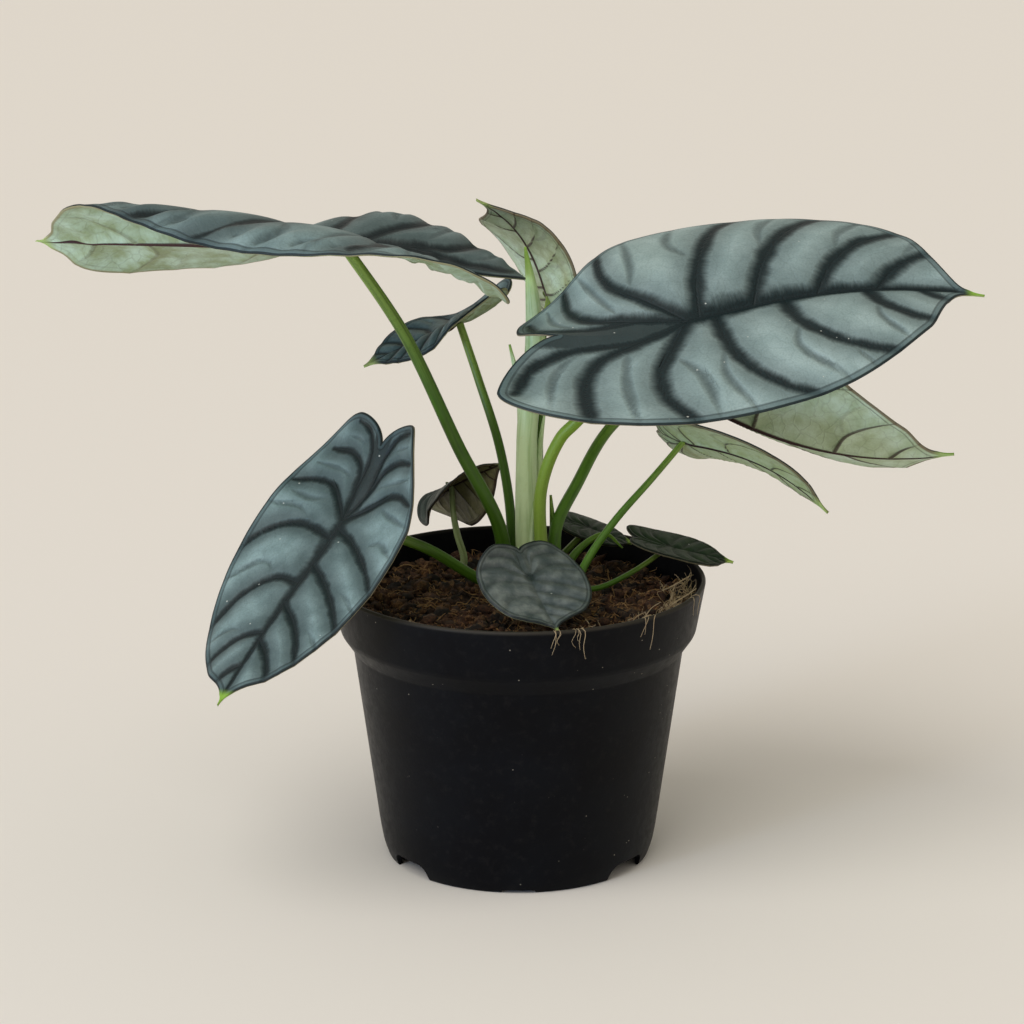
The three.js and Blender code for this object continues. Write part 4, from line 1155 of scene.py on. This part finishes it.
# Loose peat: how many, how finely faced, from and to which size, and how flat
LOOSE = {
    "crumbs": (2300, 1, 0.5, 1.4, 0.75),
    "lumps": (800, 1, 1.1, 3.0, 0.7),
    "bark_chips": (90, 2, 1.4, 3.2, 0.35),
}
LOOSE_TILT = 0.5
LOOSE_REACH = 55.3
LOOSE_EDGE = 56.3
# A full turn for drawn headings, in radians
TURN = 6.28
FIBRE_COUNT = 620
FIBRE_REACH = 54
FIBRE_EDGE = 56
FIBRE_KNOTS = 6
# From and to, in mm: length and radius of a fibre, and radii of the fine roots; how high a fibre rises, and
# by how many radians it bends at a knot
FIBRE_LENGTH = (3, 15)
FIBRE_RADIUS = (0.1, 0.22)
FIBRE_LIFT = 1.6
FIBRE_BEND = 0.9
TUFT_RADIUS = (0.09, 0.19)
OVER_RIM_RADIUS = (0.09, 0.15)
DEAD_ROOTS = [
    [(40, -30, 83.5), (42.5, -33, 88), (40.5, -36, 90), (38, -37, 88), (39, -39, 84.5)],
    [(46, -14, 84), (49, -17, 88), (53, -15, 90), (56.5, -12, 91.5)],
    [(44, 6, 84.5), (49, 3, 87.5), (54.5, 4, 90.5), (56.5, 8, 90)],
    [(22, -46, 84), (24, -50, 87), (29, -49, 88), (33, -45, 84.5)],
    [(-30, -30, 84), (-34, -33, 87.5), (-32, -38, 86), (-28, -40, 84)],
    [(-14, -44, 84), (-9, -46, 86.5), (-2, -47, 86), (4, -46, 84)],
]
DEAD_ROOT_RADIUS = 0.32
# Tufts of fine roots along the wall: turn in degrees, radius and how many
TUFTS = ((-38, 50, 14), (-26, 53, 22), (-14, 52, 26), (-4, 53, 22), (8, 52, 16), (-60, 51, 10))
TUFT_LEVEL = 84.5
TUFT_EDGE = 56.8
# Roots over the rim: how far they hang down, their turns in degrees, and their way over it by radius, level
# and the share of the drop by which each knot hangs lower
DROP = (2, 9)
OVER_RIM = (-80, -78, -77, -75.5, -74, -73, -71, -69.5, -49, -47, -46, -24, -22)
WAY_OVER_RIM = (
    (55, 83.5, 0), (57.8, 91, 0), (60.1, 92.5, 0), (60.9, 91.5, 0), (60.6, 90.5, 0.5), (60.7, 90.5, 1),
)


def bed_height(x, y):
    """Height of the soil, as the solid has it."""
    mound_x, mound_y, mound_height, spread = MOUND
    mound = mound_height * np.exp(-((x - mound_x) ** 2 + (y - mound_y) ** 2) / spread)
    a = np.sin(0.31 * x + 1.3) * np.cos(0.27 * y - 0.6)
    b = np.sin(0.62 * x - 0.41 * y + 2.1)
    return SOIL_TOP + mound + 0.65 * (a + 0.7 * b + 0.6 * np.cos(0.17 * x + 0.73 * y))


def rough(x, y):
    """Crumbly detail a few mm deep."""
    return sum(depth * noise.noise(Vector((x / size, y / size, 0))) for size, depth in LUMPS)


def rough_height(x, y):
    """Height of the crumbly bed at one place."""
    return float(bed_height(x, y)) + rough(x, y)


def random_place(draw, reach):
    """A place on the bed, evenly drawn inside a circle: how far out it is, and where."""
    out = reach * math.sqrt(draw.random())
    turn = draw.random() * 2 * math.pi
    return out, out * math.cos(turn), out * math.sin(turn)


def make_soil_bed(peat):
    mesh, u, v = grid("soil_bed", BED_ROWS, BED_SIDES)
    angle = v * 2 * math.pi
    top = np.clip(u / EDGE_SHARE, 0, 1)
    reach = np.where(u <= EDGE_SHARE, SOIL_EDGE * top, np.interp(u, WALL_SHARES, WALL_RADII))
    x, y = reach * np.cos(angle), reach * np.sin(angle)
    bumps = np.array([rough(*p) for p in zip(x.tolist(), y.tolist())])
    surface = bed_height(x, y) + bumps * np.minimum(1, (1 - top) * 40 + EDGE_ROUGHNESS)
    surface -= EDGE_FALL * smooth((top - EDGE_FALL_FROM) / (1 - EDGE_FALL_FROM))
    wall_top = bed_height(SOIL_EDGE * np.cos(angle), SOIL_EDGE * np.sin(angle)) - EDGE_FALL
    first = np.clip((u - WALL_SHARES[0]) / (WALL_SHARES[1] - WALL_SHARES[0]), 0, 1)
    upper_wall = wall_top + (WALL_LEVELS[1] - wall_top) * first
    below = np.where(u <= WALL_SHARES[1], upper_wall, np.interp(u, WALL_SHARES, WALL_LEVELS))
    place(mesh, np.stack([x, y, np.where(u <= EDGE_SHARE, surface, below)], -1))
    piece("peat_bed", weld(mesh, fill=False), [peat], "soil")


def peat_skin(name, dark, brown, pale):
    """Damp peat with coir: nearly black crumbs with dry brown faces, dull and porous, with painted shade in
    the hollows of its grain.
    """
    r = Recipe(name)
    place = r.add("TexCoord", out=3)
    crumbs = r.add("cells", place, per(2.2), out=1)
    fine = r.add("noise", place, per(0.8), 5, 0.7)
    colour = r.paint(
        dark,
        (r.add("ramp", r.add("noise", place, per(12), 4, 0.6), 0.4, 0.62), brown),
        (r.add("ramp", r.add("SeparateColor", crumbs), 0.62, 0.95, 0, 0.55), pale),
        # Painted shade: the hollows of the fine grain are darkened
        (r.add("ramp", fine, 0.4, 0.62, 0.7, 0), dark),
    )
    return r.finish(colour, 0.92, r.add("bump", fine, 0.5 * MM, 1))


def make_loose_peat(peat, bark):
    """Loose crumbs and lumps of peat, and a few chips of bark."""
    draw = random.Random(SEED)
    for label, (count, level, low, high, flat) in LOOSE.items():
        bm = bmesh.new()
        for k in range(count):
            reach, x, y = random_place(draw, LOOSE_REACH)
            size = low + (high - low) * draw.random() ** 2
            inside = min(1, (LOOSE_EDGE - size) / reach)
            x, y = x * inside, y * inside
            at = Vector((x, y, rough_height(x, y) + size * 0.25))
            made = bmesh.ops.create_icosphere(bm, subdivisions=level, radius=1)["verts"]
            tilts = draw.uniform(-LOOSE_TILT, LOOSE_TILT), draw.uniform(-LOOSE_TILT, LOOSE_TILT)
            spin = Euler((*tilts, draw.random() * TURN)).to_matrix()
            shape = Vector((size * draw.uniform(0.8, 1.5), size * draw.uniform(0.6, 1), size * flat))
            for vert in made:
                knob = 1 + 0.75 * noise.noise(vert.co * 1.7 + Vector((k, 0, 0)))
                vert.co = (spin @ Vector(a * b * knob for a, b in zip(vert.co, shape)) + at) * MM
        mesh = finished(bm, label)
        for face in mesh.polygons:
            face.use_smooth = label != "crumbs"
        piece("peat_" + label, mesh, [bark if label == "bark_chips" else peat], None)


def strands(name, paths, material, sides, rows):
    """Many thin closed tubes as one piece. Each path is its knots and its radius."""
    parts = [
        tube("strand", knots, lambda u, thick=thick: thick * (1 - 0.6 * u**2), rows, sides)
        for knots, thick in paths
    ]
    piece(name, weld(join(name, parts)), [material], None)


def coir_paths(draw):
    """Short fibres that wander over the bed, each with its first end in it."""
    paths = []
    for _ in range(FIBRE_COUNT):
        _, x, y = random_place(draw, FIBRE_REACH)
        heading, length = draw.random() * TURN, draw.uniform(*FIBRE_LENGTH)
        step = length / (FIBRE_KNOTS - 1)
        knots = []
        lift = draw.uniform(0, FIBRE_LIFT)
        for i in range(FIBRE_KNOTS):
            z = rough_height(x, y) + 0.3 + lift * draw.random()
            knots.append((x, y, z - (0.8 if i == 0 else 0)))
            heading += draw.uniform(-FIBRE_BEND, FIBRE_BEND)
            x, y = x + math.cos(heading) * step, y + math.sin(heading) * step
            far = max(math.hypot(x, y) / FIBRE_EDGE, 1)
            x, y = x / far, y / far
        paths.append((knots, draw.uniform(*FIBRE_RADIUS)))
    return paths


def tuft_paths(draw):
    """Matted fine roots that stand up along the right part of the wall."""
    paths = []
    for turn, reach, count in TUFTS:
        for _ in range(count):
            angle = math.radians(turn + draw.uniform(-7, 7))
            r, z = reach + draw.uniform(-5, 2), TUFT_LEVEL
            knots = [(r * math.cos(angle), r * math.sin(angle), z - 1)]
            for _ in range(4):
                angle += draw.uniform(-0.05, 0.05)
                r, z = min(r + draw.uniform(-1.5, 2.2), TUFT_EDGE), z + draw.uniform(-0.6, 2.6)
                knots.append((r * math.cos(angle), r * math.sin(angle), z))
            paths.append((knots, draw.uniform(*TUFT_RADIUS)))
    return paths


def over_rim_paths(draw):
    """Hair-fine roots that hang over the front of the rim."""
    paths = []
    for turn in OVER_RIM:
        angle = math.radians(turn)
        drop = draw.uniform(*DROP)
        knots = []
        for r, z, share in WAY_OVER_RIM:
            angle += draw.uniform(-0.025, 0.025)
            knots.append((r * math.cos(angle), r * math.sin(angle), z - share * drop))
        paths.append((knots, draw.uniform(*OVER_RIM_RADIUS)))
    return paths


def make_fibres():
    """Dry coir is straw brown and dead roots paler; both are dull, with fine streaks along them."""
    draw = random.Random(SEED + 1)
    coir = shoot_skin("coir_fibre", "#8a6238", "#a88354", "#b8966a", "#5a3e28")
    dead_root = shoot_skin("dead_root", "#8a7658", "#b09a76", "#c4b08c", "#6b563c")
    strands("coir_fibres", coir_paths(draw), coir, 4, 9)
    strands("dead_roots", [(knots, DEAD_ROOT_RADIUS) for knots in DEAD_ROOTS], dead_root, 10, 40)
    strands("rim_roots", [*tuft_paths(draw), *over_rim_paths(draw)], dead_root, 5, 14)


def main():
    set_camera()
    set_light()
    set_floor()
    make_blades()
    make_stalks()
    make_shoots()
    make_pot()
    peat = peat_skin("damp_peat", "#100906", "#5e3d28", "#a07850")
    make_soil_bed(peat)
    make_loose_peat(peat, peat_skin("bark_chips", "#2c1a10", "#6a452a", "#94704a"))
    make_fibres()


main()
